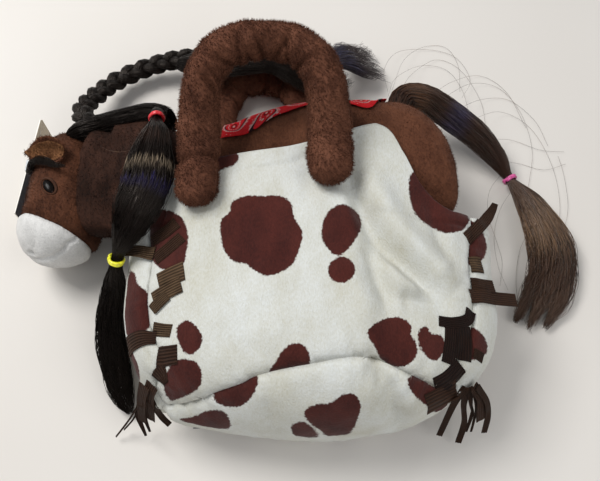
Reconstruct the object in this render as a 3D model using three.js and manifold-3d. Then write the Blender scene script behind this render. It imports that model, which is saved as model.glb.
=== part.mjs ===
// A plush horse carried in a cow-print handbag, lying on the back of the bag. Millimetres, +Z up.
// X runs from the horse's head (-X) to its tail (+X), and +Y is the way the bag opens.
// The origin is on the flat underside of the bag, in the middle of its width.
import * as THREE from 'three';
import { mergeVertices } from 'three/addons/utils/BufferGeometryUtils.js';
import Module from 'manifold-3d';

// Fits between pieces
const seatGap = 0.3;        // sewn or touching pieces

// Bag body
const bagHalfWidth = 117;
const bagMouthHalfWidth = 101;
const bagBaseY = -89;
const bagShoulderY = -20;   // the top and the underside round in below this
const bagHipY = 0;          // the sides round in below this
const bagTopZ = 92;
const bagTipZ = 28;         // height of the rounded bottom edge
const bagPress = 1;         // how far the plump back is pressed flat by the table
const bagRoundness = 2.3;
const bagWall = 3;
const liningWall = 1;
const liftStartY = 5;       // the back panel lifts off the table above the back handle
const liftEndY = 45;
const frontSeamZ = 74;
const backSeamRise = 14;     // height of the rear seams above the underside
const basePanelHalfWidth = 84;
const gussetTopY = 38;

// Upper edges of the panels
const frontLeftCornerX = -82;
const frontLeftCornerY = 72;
const frontRightCornerX = 41;
const frontRightCornerY = 99;
const sideCutX = 97;        // the side cut-outs end here at the gussets
const backLeftCornerX = -78;
const backRightCornerX = 50;
const backMouthY = 113;

// Handles: stuffed tubes, each an arch whose two ends are sewn flat on a panel
const handleHalfWidth = 13.5;
const handleHalfHeight = 13;
const handleSpan = 80;
const frontHandleX = -28;
const frontTabLeftY = 36;   // lower end of the sewn tab
const frontTabRightY = 48;
const frontTabLength = 26;
const frontSpringY = 96;    // the arch starts here
const frontArchTopY = 132;
const frontArchTopZ = 126;
const backHandleX = -30;
const backHandleSpan = 70;
const backHandleHeight = 16;
const backArchHeight = 21;
const backTabY = 78;
const backTabLength = 22;
const backSpringY = 140;
const backArchTopY = 198;

// Ribbed ribbon sewn in the side seams
const ribbonWidth = 8;
const ribbonThickness = 0.8;
const ribbonStand = 0.4;   // clear of the plush or of the strip below
const strandWidth = 2.6;
const leftSeamInset = 23;  // the front seams lie this far in from the widest line
const rightSeamInset = 22;

// Horse: stuffed body lying on its right side between the panels
const horseZ = 55;
const torsoHalfZ = 31;
const legRadius = 11.5;
const legSpread = 62;       // half the distance between fore and hind legs
const nearLegZ = 65;
const farLegZ = 39.5;
const legEndY = -30;
const headZ = 34;
const headHalfZ = 31;
const eyeRadius = 4.2;
const eyeX = -171;
const eyeY = 68;
const bandanaThickness = 1.2;
const bandanaStand = 0.5;   // cloth stands this far off the plush
const bandanaFold = 0.8;    // rise of each lengthwise fold
const bandanaFolds = 3;
const bandanaLowX = -58;
const bandanaHighX = 54;
const bandanaRearTurn = -52;   // degrees round the horse's back, from its middle line
const bandanaFrontTurn = 48;   // at the left end, where the cloth is widest
const bandanaNarrowTurn = 22;  // at the right end
const bandTube = 1.4;       // elastic bands round the locks of hair

// Card tag
const tagLength = 76;
const tagHeight = 26;
const tagThickness = 1;
const tagHoleRadius = 1.6;
const pinRadius = 0.9;

const brown = 0x4a2c20;
const palettes = {
  whitePlush: { color: 0xece7da, roughness: 0.9, metalness: 0 },
  brownPlush: { color: brown, roughness: 0.95, metalness: 0 },
  muzzlePlush: { color: 0xdfe3e4, roughness: 0.9, metalness: 0 },
  tanPlush: { color: 0x9a7448, roughness: 0.95, metalness: 0 },
  satin: { color: 0x14131a, roughness: 0.4, metalness: 0 },
  ribbon: { color: 0x40302a, roughness: 0.7, metalness: 0 },
  blackHair: { color: 0x100c0c, roughness: 0.4, metalness: 0 },
  brownHair: { color: 0x2a1812, roughness: 0.4, metalness: 0 },
  cotton: { color: 0xb5121f, roughness: 0.8, metalness: 0 },
  eye: { color: 0x0a0a0c, roughness: 0.15, metalness: 0 },
  card: { color: 0xe6e4de, roughness: 0.6, metalness: 0 },
  clearPlastic: { color: 0xd8dadc, roughness: 0.3, metalness: 0 },
  red: { color: 0xd0142c, roughness: 0.5, metalness: 0 },
  yellow: { color: 0xd8e01c, roughness: 0.5, metalness: 0 },
  pink: { color: 0xe86aa0, roughness: 0.5, metalness: 0 },
};
const materials = Object.fromEntries(
  Object.entries(palettes).map(([name, look]) => [name, new THREE.MeshStandardMaterial(look)]));

const wasm = await Module();
wasm.setup();
const object = new THREE.Group();

function vec(x, y, z = 0) {
  return new THREE.Vector3(x, y, z);
}

function toSolid(geometry) {
  const bare = geometry.clone();
  bare.deleteAttribute('normal');
  bare.deleteAttribute('uv');
  const merged = mergeVertices(bare, 1e-4);
  return new wasm.Manifold(new wasm.Mesh({
    numProp: 3,
    vertProperties: new Float32Array(merged.attributes.position.array),
    triVerts: new Uint32Array(merged.index.array),
  }));
}

function toGeometry(solid) {
  const mesh = solid.getMesh();
  const geometry = new THREE.BufferGeometry();
  geometry.setAttribute('position', new THREE.BufferAttribute(mesh.vertProperties, 3));
  geometry.setIndex(new THREE.BufferAttribute(mesh.triVerts, 1));
  geometry.computeVertexNormals();
  return geometry;
}

// A cut can leave a sliver beside the piece itself, and the piece is the largest of them.
function mainBody(solid) {
  return solid.decompose().reduce((best, next) => (next.volume() > best.volume() ? next : best));
}

function addPiece(name, solid, material) {
  const mesh = new THREE.Mesh(toGeometry(mainBody(solid)), materials[material]);
  mesh.name = name;
  object.add(mesh);
}

function boxSolid(low, high) {
  const geometry = new THREE.BoxGeometry(high.x - low.x, high.y - low.y, high.z - low.z);
  geometry.translate((low.x + high.x) / 2, (low.y + high.y) / 2, (low.z + high.z) / 2);
  return toSolid(geometry);
}

// A plan outline, from a list of points, raised between two heights
function plate(outline, lowZ, highZ) {
  const geometry = new THREE.ExtrudeGeometry(new THREE.Shape(outline),
    { depth: highZ - lowZ, bevelEnabled: false });
  geometry.translate(0, 0, lowZ);
  return toSolid(geometry);
}

function smoothCurve(points, count) {
  const curve = new THREE.SplineCurve(points.map(([x, y]) => new THREE.Vector2(x, y)));
  return curve.getPoints(count);
}

// A closed solid from its corners and triangles, turned right way out if need be
function closed(positions, index) {
  const geometry = new THREE.BufferGeometry();
  geometry.setAttribute('position', new THREE.BufferAttribute(new Float32Array(positions), 3));
  geometry.setIndex(index);
  const solid = toSolid(geometry);
  if (solid.volume() > 0) return solid;
  for (let i = 0; i < index.length; i += 3) [index[i], index[i + 1]] = [index[i + 1], index[i]];
  geometry.setIndex(index);
  return toSolid(geometry);
}

// Rings of equal count, first to last, closed by a fan over each end
function loft(rings) {
  const count = rings[0].length;
  const positions = rings.flat().flatMap((p) => [p.x, p.y, p.z]);
  const centre = (ring) => ring.reduce((sum, p) => sum.add(p), vec(0, 0)).divideScalar(count);
  const ends = [centre(rings[0]), centre(rings.at(-1))];
  ends.forEach((p) => positions.push(p.x, p.y, p.z));
  const index = [];
  for (let ring = 0; ring < rings.length - 1; ring += 1) {
    for (let k = 0; k < count; k += 1) {
      const next = (k + 1) % count;
      const a = ring * count;
      index.push(a + k, a + next, a + count + next, a + k, a + count + next, a + count + k);
    }
  }
  const firstFan = rings.length * count;
  const lastRing = (rings.length - 1) * count;
  for (let k = 0; k < count; k += 1) {
    const next = (k + 1) % count;
    index.push(firstFan, next, k, firstFan + 1, lastRing + k, lastRing + next);
  }
  return closed(positions, index);
}

// A sheet of cloth between two surfaces, each a function of a column and a row of its grid
function sheet(lower, upper, columns, rows) {
  const positions = [];
  [lower, upper].forEach((surface) => {
    for (let i = 0; i <= columns; i += 1) {
      for (let k = 0; k <= rows; k += 1) positions.push(...surface(i, k).toArray());
    }
  });
  const at = (side, i, k) => (side * (columns + 1) + i) * (rows + 1) + k;
  const index = [];
  const quad = (a, b, c, d) => index.push(a, b, c, a, c, d);
  for (let i = 0; i < columns; i += 1) {
    for (let k = 0; k < rows; k += 1) {
      quad(at(1, i, k), at(1, i + 1, k), at(1, i + 1, k + 1), at(1, i, k + 1));
      quad(at(0, i, k), at(0, i, k + 1), at(0, i + 1, k + 1), at(0, i + 1, k));
    }
    quad(at(0, i, 0), at(0, i + 1, 0), at(1, i + 1, 0), at(1, i, 0));
    quad(at(0, i, rows), at(1, i, rows), at(1, i + 1, rows), at(0, i + 1, rows));
  }
  for (let k = 0; k < rows; k += 1) {
    quad(at(0, 0, k), at(1, 0, k), at(1, 0, k + 1), at(0, 0, k + 1));
    quad(at(0, columns, k), at(0, columns, k + 1), at(1, columns, k + 1), at(1, columns, k));
  }
  return closed(positions, index);
}

// Values given at a few stations, read between them on a smooth curve
function along(stations, column, at) {
  const curve = new THREE.SplineCurve(stations.map((row) => new THREE.Vector2(row[0], row[column])));
  const last = stations.length - 1;
  const index = Math.min(last - 1, Math.max(0, stations.findLastIndex((row) => row[0] <= at)));
  const span = stations[index + 1][0] - stations[index][0];
  return curve.getPoint((index + (at - stations[index][0]) / span) / last).y;
}

// A tapering stuffed limb or lock of hair along a path. Each point is
// [x, y, z, half width in plan, half height].
function swell(points, steps, sides, grow = 0) {
  const path = new THREE.CatmullRomCurve3(points.map((p) => vec(p[0], p[1], p[2])));
  const rings = [];
  for (let step = 0; step <= steps; step += 1) {
    const t = step / steps;
    const at = t * (points.length - 1);
    const i = Math.min(points.length - 2, Math.floor(at));
    const mix = (column) => THREE.MathUtils.lerp(points[i][column], points[i + 1][column], at - i);
    const centre = path.getPoint(t);
    const tangent = path.getTangent(t);
    if (step === 0) centre.addScaledVector(tangent, -grow);
    if (step === steps) centre.addScaledVector(tangent, grow);
    const side = tangent.clone().cross(vec(0, 0, 1)).normalize();
    const up = side.clone().cross(tangent);
    rings.push(Array.from({ length: sides }, (_, k) => {
      const turn = (2 * Math.PI * k) / sides;
      return centre.clone()
        .addScaledVector(side, (mix(3) + grow) * Math.cos(turn))
        .addScaledVector(up, (mix(4) + grow) * Math.sin(turn));
    }));
  }
  return loft(rings);
}

// Bag body, as a closed solid grown or shrunk by a few millimetres
function backLift(y) {
  return (backHandleHeight + seatGap) * THREE.MathUtils.smoothstep(y, liftStartY, liftEndY);
}

function bagSection(y) {
  const depth = bagShoulderY - bagBaseY;
  const u = Math.min(1, Math.max(0, (bagShoulderY - y) / depth));
  const v = Math.min(1, Math.max(0, (bagHipY - y) / (bagHipY - bagBaseY)));
  const round = (power, share = u) => Math.max(0, 1 - share ** power) ** (1 / power);
  const narrow = THREE.MathUtils.smoothstep(y, gussetTopY - 20, backMouthY);
  const lift = THREE.MathUtils.smoothstep(y, liftStartY, liftEndY);
  const backZ = backLift(y) - bagPress * (1 - lift);
  return {
    halfWidth: THREE.MathUtils.lerp(bagHalfWidth, bagMouthHalfWidth, narrow) * round(2.6, v),
    top: THREE.MathUtils.lerp(bagTipZ, bagTopZ, round(2.6)),
    bottom: THREE.MathUtils.lerp(bagTipZ, backZ, round(4)),
  };
}

function superRing(y, halfWidth, lowZ, highZ, sides) {
  const bend = (value) => Math.sign(value) * Math.abs(value) ** (2 / bagRoundness);
  return Array.from({ length: sides }, (_, k) => {
    const turn = (2 * Math.PI * (k + 0.5)) / sides;
    const rise = (highZ - lowZ) / 2;
    return vec(halfWidth * bend(Math.cos(turn)), y, (highZ + lowZ) / 2 + rise * bend(Math.sin(turn)));
  });
}

function bagBody(grow) {
  const sides = 28;
  const roundSteps = [0.995, 0.96, 0.88, 0.76, 0.58, 0.32];
  const depth = bagShoulderY - bagBaseY;
  const straight = [bagShoulderY, bagShoulderY / 2, liftStartY, 18, 32, liftEndY, 78, backMouthY + 10];
  const rings = [];
  roundSteps.forEach((u) => {
    const section = bagSection(bagShoulderY - u * depth);
    const y = bagShoulderY - u * (depth + grow);
    rings.push(superRing(y, Math.max(2, section.halfWidth + grow), section.bottom - grow,
      section.top + grow, sides));
  });
  straight.forEach((y) => {
    const section = bagSection(y);
    rings.push(superRing(y, section.halfWidth + grow, section.bottom - grow, section.top + grow, sides));
  });
  return loft(rings);
}

// Height of the bag's upper surface over a point of the plan, or of its widest line outside it
function bagSurfaceZ(x, y) {
  const section = bagSection(y);
  const middle = (section.top + section.bottom) / 2;
  const share = Math.min(1, Math.abs(x) / Math.max(1, section.halfWidth));
  const rise = (section.top - section.bottom) / 2;
  return middle + rise * (1 - share ** bagRoundness) ** (1 / bagRoundness);
}

const farX = bagHalfWidth + 20;
const farY = bagBaseY - 20;
const overTopZ = bagTopZ + 10;
const middleZ = (frontSeamZ + backSeamRise) / 2;

function frontOutline() {
  return [
    new THREE.Vector2(-farX, farY),
    new THREE.Vector2(-farX, gussetTopY),
    ...smoothCurve([[-sideCutX, gussetTopY], [frontLeftCornerX - 9, gussetTopY + 10],
      [frontLeftCornerX - 2, frontLeftCornerY - 8]], 8),
    ...smoothCurve([[frontLeftCornerX, frontLeftCornerY], [-54, frontLeftCornerY + 3],
      [-6, frontLeftCornerY + 10], [frontRightCornerX, frontRightCornerY]], 10),
    ...smoothCurve([[frontRightCornerX + 6, frontRightCornerY - 8], [frontRightCornerX + 26, 52],
      [sideCutX, gussetTopY]], 10),
    new THREE.Vector2(farX, gussetTopY),
    new THREE.Vector2(farX, farY),
  ];
}

function backOutline() {
  const cut = (side, cornerX) => {
    const between = (share) => THREE.MathUtils.lerp(side * sideCutX, cornerX, share);
    return [[side * sideCutX, gussetTopY], [between(0.5), gussetTopY + 12],
      [between(0.85), gussetTopY + 38], [cornerX, backMouthY - 6], [cornerX - side * 7, backMouthY]];
  };
  return [
    new THREE.Vector2(-farX, farY),
    new THREE.Vector2(-farX, gussetTopY),
    ...smoothCurve(cut(-1, backLeftCornerX), 12),
    ...smoothCurve(cut(1, backRightCornerX).toReversed(), 12),
    new THREE.Vector2(farX, gussetTopY),
    new THREE.Vector2(farX, farY),
  ];
}

function mouthTrim() {
  return plate(frontOutline(), middleZ, overTopZ).add(plate(backOutline(), -10, middleZ));
}

// The base panel lies below a seam that arches up on the front
function baseRegion(grow) {
  const halfWidth = basePanelHalfWidth + grow;
  const seam = smoothCurve([[-halfWidth, -80], [-54, -73], [-30, -67], [0, -57], [30, -53],
    [57, -63], [halfWidth, -76]], 24);
  seam.forEach((p) => { p.y += grow; });
  return plate([new THREE.Vector2(-halfWidth, farY), ...seam, new THREE.Vector2(halfWidth, farY)],
    backSeamRise + seatGap / 2 - grow, overTopZ);
}

// All that lies below the rear seams, which rise with the back panel
function backRegion(grow) {
  const outline = [new THREE.Vector2(farY, -30), new THREE.Vector2(farY, backSeamRise + grow)];
  for (let y = liftStartY; y <= liftEndY; y += 5) {
    outline.push(new THREE.Vector2(y, backSeamRise + backLift(y) + grow));
  }
  outline.push(new THREE.Vector2(backMouthY + 40, backSeamRise + backLift(liftEndY) + grow));
  outline.push(new THREE.Vector2(backMouthY + 40, -30));
  const geometry = new THREE.ExtrudeGeometry(new THREE.Shape(outline),
    { depth: 2 * farX, bevelEnabled: false });
  geometry.translate(0, 0, -farX);
  geometry.applyMatrix4(new THREE.Matrix4().makeBasis(vec(0, 1), vec(0, 0, 1), vec(1, 0)));
  return toSolid(geometry);
}

function slab(lowZ, highZ, lowX = -farX, highX = farX) {
  return boxSolid(vec(lowX, farY, lowZ), vec(highX, backArchTopY + 40, highZ));
}

function addBag() {
  const trim = mouthTrim();
  const shell = bagBody(0).subtract(bagBody(-bagWall)).subtract(slab(-20, 0)).intersect(trim);
  const half = seatGap / 2;
  const rest = shell.subtract(baseRegion(seatGap));
  const side = rest.intersect(slab(0, frontSeamZ - half)).subtract(backRegion(half));
  addPiece('front_panel', rest.intersect(slab(frontSeamZ + half, overTopZ)), 'whitePlush');
  addPiece('back_panel', rest.intersect(backRegion(-half)), 'whitePlush');
  addPiece('base_panel', shell.intersect(baseRegion(0)), 'whitePlush');
  addPiece('left_gusset', side.intersect(slab(0, overTopZ, -farX, 0)), 'whitePlush');
  addPiece('right_gusset', side.intersect(slab(0, overTopZ, 0, farX)), 'whitePlush');
  const lining = bagBody(-bagWall - seatGap).subtract(bagBody(-bagWall - seatGap - liningWall));
  addPiece('lining', lining.intersect(trim), 'satin');
}

// Handle centre line: up one leg, over a rounded arch and down the other
function handlePoints(handle) {
  const { x, span, leftY, rightY, springY, topY, widths, seat, topZ, heightAt } = handle;
  const points = [];
  const half = span / 2;
  const legZ = (side, y) => THREE.MathUtils.lerp(seat(side, y), topZ,
    THREE.MathUtils.smoothstep(y, (side < 0 ? leftY : rightY) + frontTabLength, topY));
  const push = (px, y, z, share) => {
    points.push([px, y, z, widths * share, heightAt(y) * share]);
  };
  const leg = [0.5, 4, 14, 40];
  leg.forEach((d, i) => push(x - half, leftY + d, legZ(-1, leftY + d), [0.35, 0.78, 1, 1][i]));
  const archSteps = 10;
  for (let i = 0; i <= archSteps; i += 1) {
    const turn = Math.PI * (1 - i / archSteps);
    const y = springY + (topY - springY) * Math.abs(Math.sin(turn)) ** 0.8;
    push(x + half * Math.sign(Math.cos(turn)) * Math.abs(Math.cos(turn)) ** 0.8, y,
      legZ(Math.cos(turn), y), 1);
  }
  leg.toReversed().forEach((d, i) => {
    push(x + half, rightY + d, legZ(1, rightY + d), [1, 1, 0.78, 0.35][i]);
  });
  return points;
}

const frontHandle = {
  x: frontHandleX,
  span: handleSpan,
  leftY: frontTabLeftY,
  rightY: frontTabRightY,
  springY: frontSpringY,
  topY: frontArchTopY,
  topZ: frontArchTopZ,
  widths: handleHalfWidth,
  heightAt: () => handleHalfHeight,
  seat: (side, y) => bagSurfaceZ(frontHandleX + (side * handleSpan) / 2, y)
    + seatGap + handleHalfHeight * 0.8,
};

const backHandle = {
  x: backHandleX,
  span: backHandleSpan,
  leftY: backTabY,
  rightY: backTabY,
  springY: backSpringY,
  topY: backArchTopY,
  topZ: backArchHeight / 2 + seatGap,
  widths: handleHalfWidth + 1,
  heightAt: (y) => THREE.MathUtils.lerp(backHandleHeight, backArchHeight,
    THREE.MathUtils.smoothstep(y, backMouthY, backSpringY + 10)) / 2,
  seat: () => backHandleHeight / 2,
};

// The upper line of the creases, about which the front handle folds up
const frontCrease = {
  left: vec(frontHandleX - handleSpan / 2, frontTabLeftY + frontTabLength),
  right: vec(frontHandleX + handleSpan / 2, frontTabRightY + frontTabLength),
};
const backCreaseY = backTabY + backTabLength;

// All of the plan on one side of the crease: 1 is the arch's side and -1 the tabs' side
function creaseSide(left, right, side) {
  const run = right.clone().sub(left).setLength(farX);
  const normal = vec(-run.y, run.x).normalize().multiplyScalar(side);
  const start = left.clone().sub(run).addScaledVector(normal, seatGap / 2);
  const end = right.clone().add(run).addScaledVector(normal, seatGap / 2);
  const corners = [start, end, end.clone().addScaledVector(normal, 3 * farX),
    start.clone().addScaledVector(normal, 3 * farX)];
  return plate(corners.map((p) => new THREE.Vector2(p.x, p.y)), -20, frontArchTopZ + 40);
}

function addHandle(name, handle, left, right, keepOut) {
  const tube = swell(handlePoints(handle), 34, 10).subtract(keepOut);
  const tabs = tube.intersect(creaseSide(left, right, -1));
  const half = (lowX, highX) => slab(-20, frontArchTopZ + 40, lowX, highX);
  addPiece(`${name}_handle`, tube.intersect(creaseSide(left, right, 1)), 'brownPlush');
  addPiece(`${name}_tab_left`, tabs.intersect(half(-farX, handle.x)), 'brownPlush');
  addPiece(`${name}_tab_right`, tabs.intersect(half(handle.x, farX)), 'brownPlush');
}

function addHandles() {
  const keepOut = bagBody(seatGap);
  addHandle('front', frontHandle, frontCrease.left, frontCrease.right, keepOut);
  addHandle('back', backHandle, vec(-1, backCreaseY), vec(1, backCreaseY), keepOut.add(slab(-20, 0)));
}

// A ribbon strip laid over the bag from its seam, as steps of [x, y] with a layer number
function ribbonStrip(route, layer, freeZ) {
  const curve = new THREE.SplineCurve(route.map(([x, y]) => new THREE.Vector2(x, y)));
  const steps = 6;
  const rings = [];
  for (let step = 0; step <= steps; step += 1) {
    const p = curve.getPoint(step / steps);
    const tangent = curve.getTangent(step / steps);
    const side = new THREE.Vector2(-tangent.y, tangent.x).multiplyScalar(ribbonWidth / 2);
    const edges = [p.clone().sub(side), p.clone().add(side)];
    const share = step / steps;
    const heights = edges.map((e) => {
      const over = Math.abs(e.x) < bagSection(e.y).halfWidth - 4;
      const lay = over ? bagSurfaceZ(e.x, e.y) : THREE.MathUtils.lerp(frontSeamZ, freeZ, share);
      return lay + ribbonStand + layer * (ribbonThickness + ribbonStand);
    });
    const level = Math.max(...heights);
    rings.push([
      vec(edges[0].x, edges[0].y, level),
      vec(edges[1].x, edges[1].y, level),
      vec(edges[1].x, edges[1].y, level + ribbonThickness),
      vec(edges[0].x, edges[0].y, level + ribbonThickness),
    ]);
  }
  return loft(rings);
}

// Each strip starts near the side seam. Its route is given by how far in from the seam it lies
// and by its y, with a layer number and the height of its free end.
const seamX = { left: leftSeamInset - bagHalfWidth, right: bagHalfWidth - rightSeamInset };
const leftStrips = [
  { route: [[0, 20], [8, 28], [16, 36]], layer: 0, freeZ: 70 },
  { route: [[4, 7], [12, 14], [21, 22]], layer: 0, freeZ: 70 },
  { route: [[0, 14], [-7, 13], [-16, 11]], layer: 1, freeZ: 64 },
  { route: [[1, -10], [10, -5], [19, 3]], layer: 0, freeZ: 70 },
  { route: [[8, -22], [1, -22], [-6, -22]], layer: 0, freeZ: 66 },
  { route: [[14, -37], [5, -37], [-4, -36]], layer: 0, freeZ: 66 },
  { route: [[3, -46], [-6, -51], [-14, -57]], layer: 1, freeZ: 46 },
  { route: [[8, -47], [14, -52], [20, -57]], layer: 0, freeZ: 59 },
];
const rightStrips = [
  { route: [[0, 22], [-10, 33], [-18, 47]], layer: 0, freeZ: 50 },
  { route: [[-1, 6], [-7, 7], [-13, 8]], layer: 0, freeZ: 62 },
  { route: [[0, -5], [-10, -5], [-20, -5]], layer: 0, freeZ: 56 },
  { route: [[1, -17], [-17, -17], [-33, -20]], layer: 0, freeZ: 48 },
  { route: [[2, -29], [11, -28], [23, -28]], layer: 0, freeZ: 60 },
  { route: [[4, -41], [-3, -48], [-10, -56]], layer: 0, freeZ: 40 },
];

// A corner tassel: one ribbon slit into strands that fan out on to the table
function tassel(rootX, side, strands) {
  const root = vec(rootX, -62, 58);
  let solid = null;
  for (let k = 0; k < strands; k += 1) {
    const share = k / (strands - 1) - 0.5;
    const endX = rootX + side * 22 * share;
    const endY = -78 - 6 * Math.cos(share * 3);
    const z = 6 + 4 * (k % 3);
    const strand = swell([
      [root.x, root.y, root.z, strandWidth, strandWidth / 2],
      [root.x + side * (7 + 8 * share), root.y - 12, root.z - 12, strandWidth, strandWidth / 2],
      [endX, endY, z, strandWidth / 2, strandWidth / 2],
    ], 4, 4);
    solid = solid ? solid.add(strand) : strand;
  }
  return solid.add(swell([
    [root.x - side * 3, root.y + 5, root.z + 3, strandWidth, 2.4],
    [root.x + side * 4, root.y - 6, root.z - 6, strandWidth * 2.4, 2.4],
  ], 2, 6));
}

function addFringe() {
  const keepOut = bagBody(seatGap);
  const addStrips = (side, strips) => strips.forEach((strip, i) => {
    const inward = side === 'left' ? 1 : -1;
    const route = strip.route.map(([inset, y]) => [seamX[side] + inward * inset, y]);
    const solid = ribbonStrip(route, strip.layer, strip.freeZ).subtract(keepOut);
    addPiece(`fringe_${side}_${i + 1}`, solid, 'ribbon');
  });
  addStrips('left', leftStrips);
  addStrips('right', rightStrips);
  addPiece('tassel_left', tassel(seamX.left - 5, -1, 6).subtract(keepOut), 'ribbon');
  addPiece('tassel_right', tassel(seamX.right, 1, 6).subtract(keepOut), 'ribbon');
}

// Torso: a barrel with a round rump, as [x, back y, belly y, half thickness]
const torsoStations = [
  [-90, 84, 80, 2],
  [-86, 102, 62, 12],
  [-76, 112, 52, 21],
  [-50, 121, 48, 28],
  [-20, 134, 48, torsoHalfZ - 2],
  [15, 140, 48, torsoHalfZ - 1.5],
  [48, 140, 46, torsoHalfZ - 2],
  [72, 136, 46, torsoHalfZ],
  [88, 122, 45, torsoHalfZ - 5],
  [98, 106, 51, torsoHalfZ - 13],
  [103, 86, 64, 3],
];

function torsoPoint(x, turn, grow) {
  const back = along(torsoStations, 1, x) + grow;
  const belly = along(torsoStations, 2, x) - grow;
  const halfZ = along(torsoStations, 3, x) + grow;
  return vec(x, (back + belly) / 2 + ((back - belly) / 2) * Math.cos(turn),
    horseZ + halfZ * Math.sin(turn));
}

function torsoSolid(grow) {
  const count = torsoStations.length - 1;
  const rings = [];
  for (let step = 0; step <= count * 2; step += 1) {
    const i = Math.min(count - 1, Math.floor(step / 2));
    const from = torsoStations[i][0];
    const x = THREE.MathUtils.lerp(from, torsoStations[i + 1][0], step / 2 - i);
    const shift = step === 0 ? -grow : Number(step === count * 2) * grow;
    rings.push(Array.from({ length: 18 }, (_, k) => {
      const p = torsoPoint(x, (2 * Math.PI * k) / 18, grow);
      p.x += shift;
      return p;
    }));
  }
  return loft(rings);
}

// Neck: [x, y, z, half width in plan, half height], from the torso to the poll
const neckStations = [
  [-84, 85, 55, 26, 20],
  [-103, 85, 53, 36, 27],
  [-120, 81, 50, 40, 29],
  [-134, 80, 46, 42, 27.5],
  [-146, 88, 43, 37, 24],
  [-155, 98, 41, 27, 17],
  [-161, 106, 39, 8, 7],
];

// Head: the same columns, from the poll down the face to the chin
const headStations = [
  [-166, 127, headZ, 4, 4],
  [-168, 120, headZ, 15, 15],
  [-171, 106, headZ, 22, headHalfZ - 6],
  [-172.5, 90, headZ, 24, headHalfZ - 2],
  [-173, 74, headZ, 25, headHalfZ],
  [-173, 60, headZ, 26, headHalfZ],
  [-173, 46, headZ, 26.5, headHalfZ - 2],
  [-172, 34, headZ, 23, headHalfZ - 7],
  [-171.5, 27, headZ, 14, headHalfZ - 17],
  [-171, 23, headZ, 4, 4],
];

// The white muzzle starts at a seam that slopes down from the nose to the jaw
function muzzleRegion(grow) {
  const slope = [new THREE.Vector2(-230, 69), new THREE.Vector2(-110, 22)];
  slope.forEach((p) => { p.y += grow; });
  return plate([slope[0], slope[1], new THREE.Vector2(-110, -20), new THREE.Vector2(-230, -20)],
    -10, horseZ * 2);
}

function headSurfaceZ(y, far) {
  const rows = headStations.map((row) => [-row[1], row[4]]);
  return headZ + (far ? -1 : 1) * along(rows, 1, -y);
}

// A domed button eye, with its round face outwards
function eyeSolid(x, y, far) {
  const profile = [new THREE.Vector2(0, -1)];
  for (let i = 0; i <= 4; i += 1) {
    const turn = (Math.PI / 2) * (i / 4);
    profile.push(new THREE.Vector2(eyeRadius * Math.cos(turn), 2.2 * Math.sin(turn)));
  }
  profile.splice(1, 0, new THREE.Vector2(eyeRadius, -1));
  profile[profile.length - 1].x = 0;
  const geometry = new THREE.LatheGeometry(profile, 12);
  geometry.rotateX(far ? -Math.PI / 2 : Math.PI / 2);
  geometry.translate(x, y, headSurfaceZ(y, far) + (far ? 1 : -1) * 0.9);
  return toSolid(geometry);
}

function leg(x, z) {
  return swell([
    [x, 66, z, legRadius, legRadius],
    [x, 40, z, legRadius, legRadius],
    [x, 5, z, legRadius - 2, legRadius - 2],
    [x, legEndY + 16, z, legRadius - 1, legRadius - 1],
    [x, legEndY + 3, z, legRadius, legRadius],
    [x, legEndY, z, legRadius * 0.7, legRadius * 0.7],
  ], 10, 10);
}

// An ear is a flat leaf from its base to its tip
function earSolid(base, tip) {
  const leaf = [[0, 4, 2], [0.35, 8, 2.4], [0.7, 6.5, 2], [1, 1, 0.8]];
  return swell(leaf.map(([share, halfWidth, halfHeight]) => {
    const p = base.clone().lerp(tip, share);
    return [p.x, p.y, p.z, halfWidth, halfHeight];
  }), 8, 10);
}

function addHorse() {
  const torso = torsoSolid(0);
  const torsoCut = torsoSolid(seatGap);
  const headCut = swell(headStations, 18, 18, seatGap);
  const neckCut = swell(neckStations, 12, 18, seatGap);
  const head = swell(headStations, 18, 18);
  addPiece('torso', torso, 'brownPlush');
  addPiece('neck', swell(neckStations, 12, 18).subtract(torsoCut).subtract(headCut), 'brownPlush');
  addPiece('head', head.subtract(muzzleRegion(seatGap)), 'brownPlush');
  addPiece('muzzle', head.intersect(muzzleRegion(0)), 'muzzlePlush');
  addPiece('near_eye', eyeSolid(eyeX, eyeY, false).subtract(headCut), 'eye');
  addPiece('far_eye', eyeSolid(eyeX, eyeY, true).subtract(headCut), 'eye');
  addPiece('near_ear', earSolid(vec(-163, 96, headZ + 30), vec(-187, 102, headZ + 28)).subtract(headCut).subtract(neckCut), 'tanPlush');
  addPiece('far_ear', earSolid(vec(-170, 104, headZ - 18), vec(-184, 123, headZ - 21)).subtract(headCut).subtract(neckCut), 'tanPlush');
  const limbs = { near_fore_leg: [-1, nearLegZ], far_fore_leg: [-1, farLegZ],
    near_hind_leg: [1, nearLegZ], far_hind_leg: [1, farLegZ] };
  Object.entries(limbs).forEach(([name, [end, z]]) => {
    addPiece(name, leg(end * legSpread, z).subtract(torsoCut), 'brownPlush');
  });
  addHair(torsoCut, headCut, neckCut);
  addBandana();
}

// Elastic band round a lock, with its hole along the lock's direction
function bandSolid(at, direction, lockRadius) {
  const geometry = new THREE.TorusGeometry(lockRadius + seatGap + bandTube, bandTube, 6, 12);
  geometry.applyQuaternion(new THREE.Quaternion().setFromUnitVectors(vec(0, 0, 1),
    direction.clone().normalize()));
  geometry.translate(at.x, at.y, at.z);
  return toSolid(geometry);
}

// A lock runs through its band with the same radius on both sides of it
function bandedPoints(at, direction, radius) {
  const step = direction.clone().setLength(bandTube + 2);
  return [at.clone().sub(step), at.clone().add(step)].map((p) => [p.x, p.y, p.z, radius, radius]);
}

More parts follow.
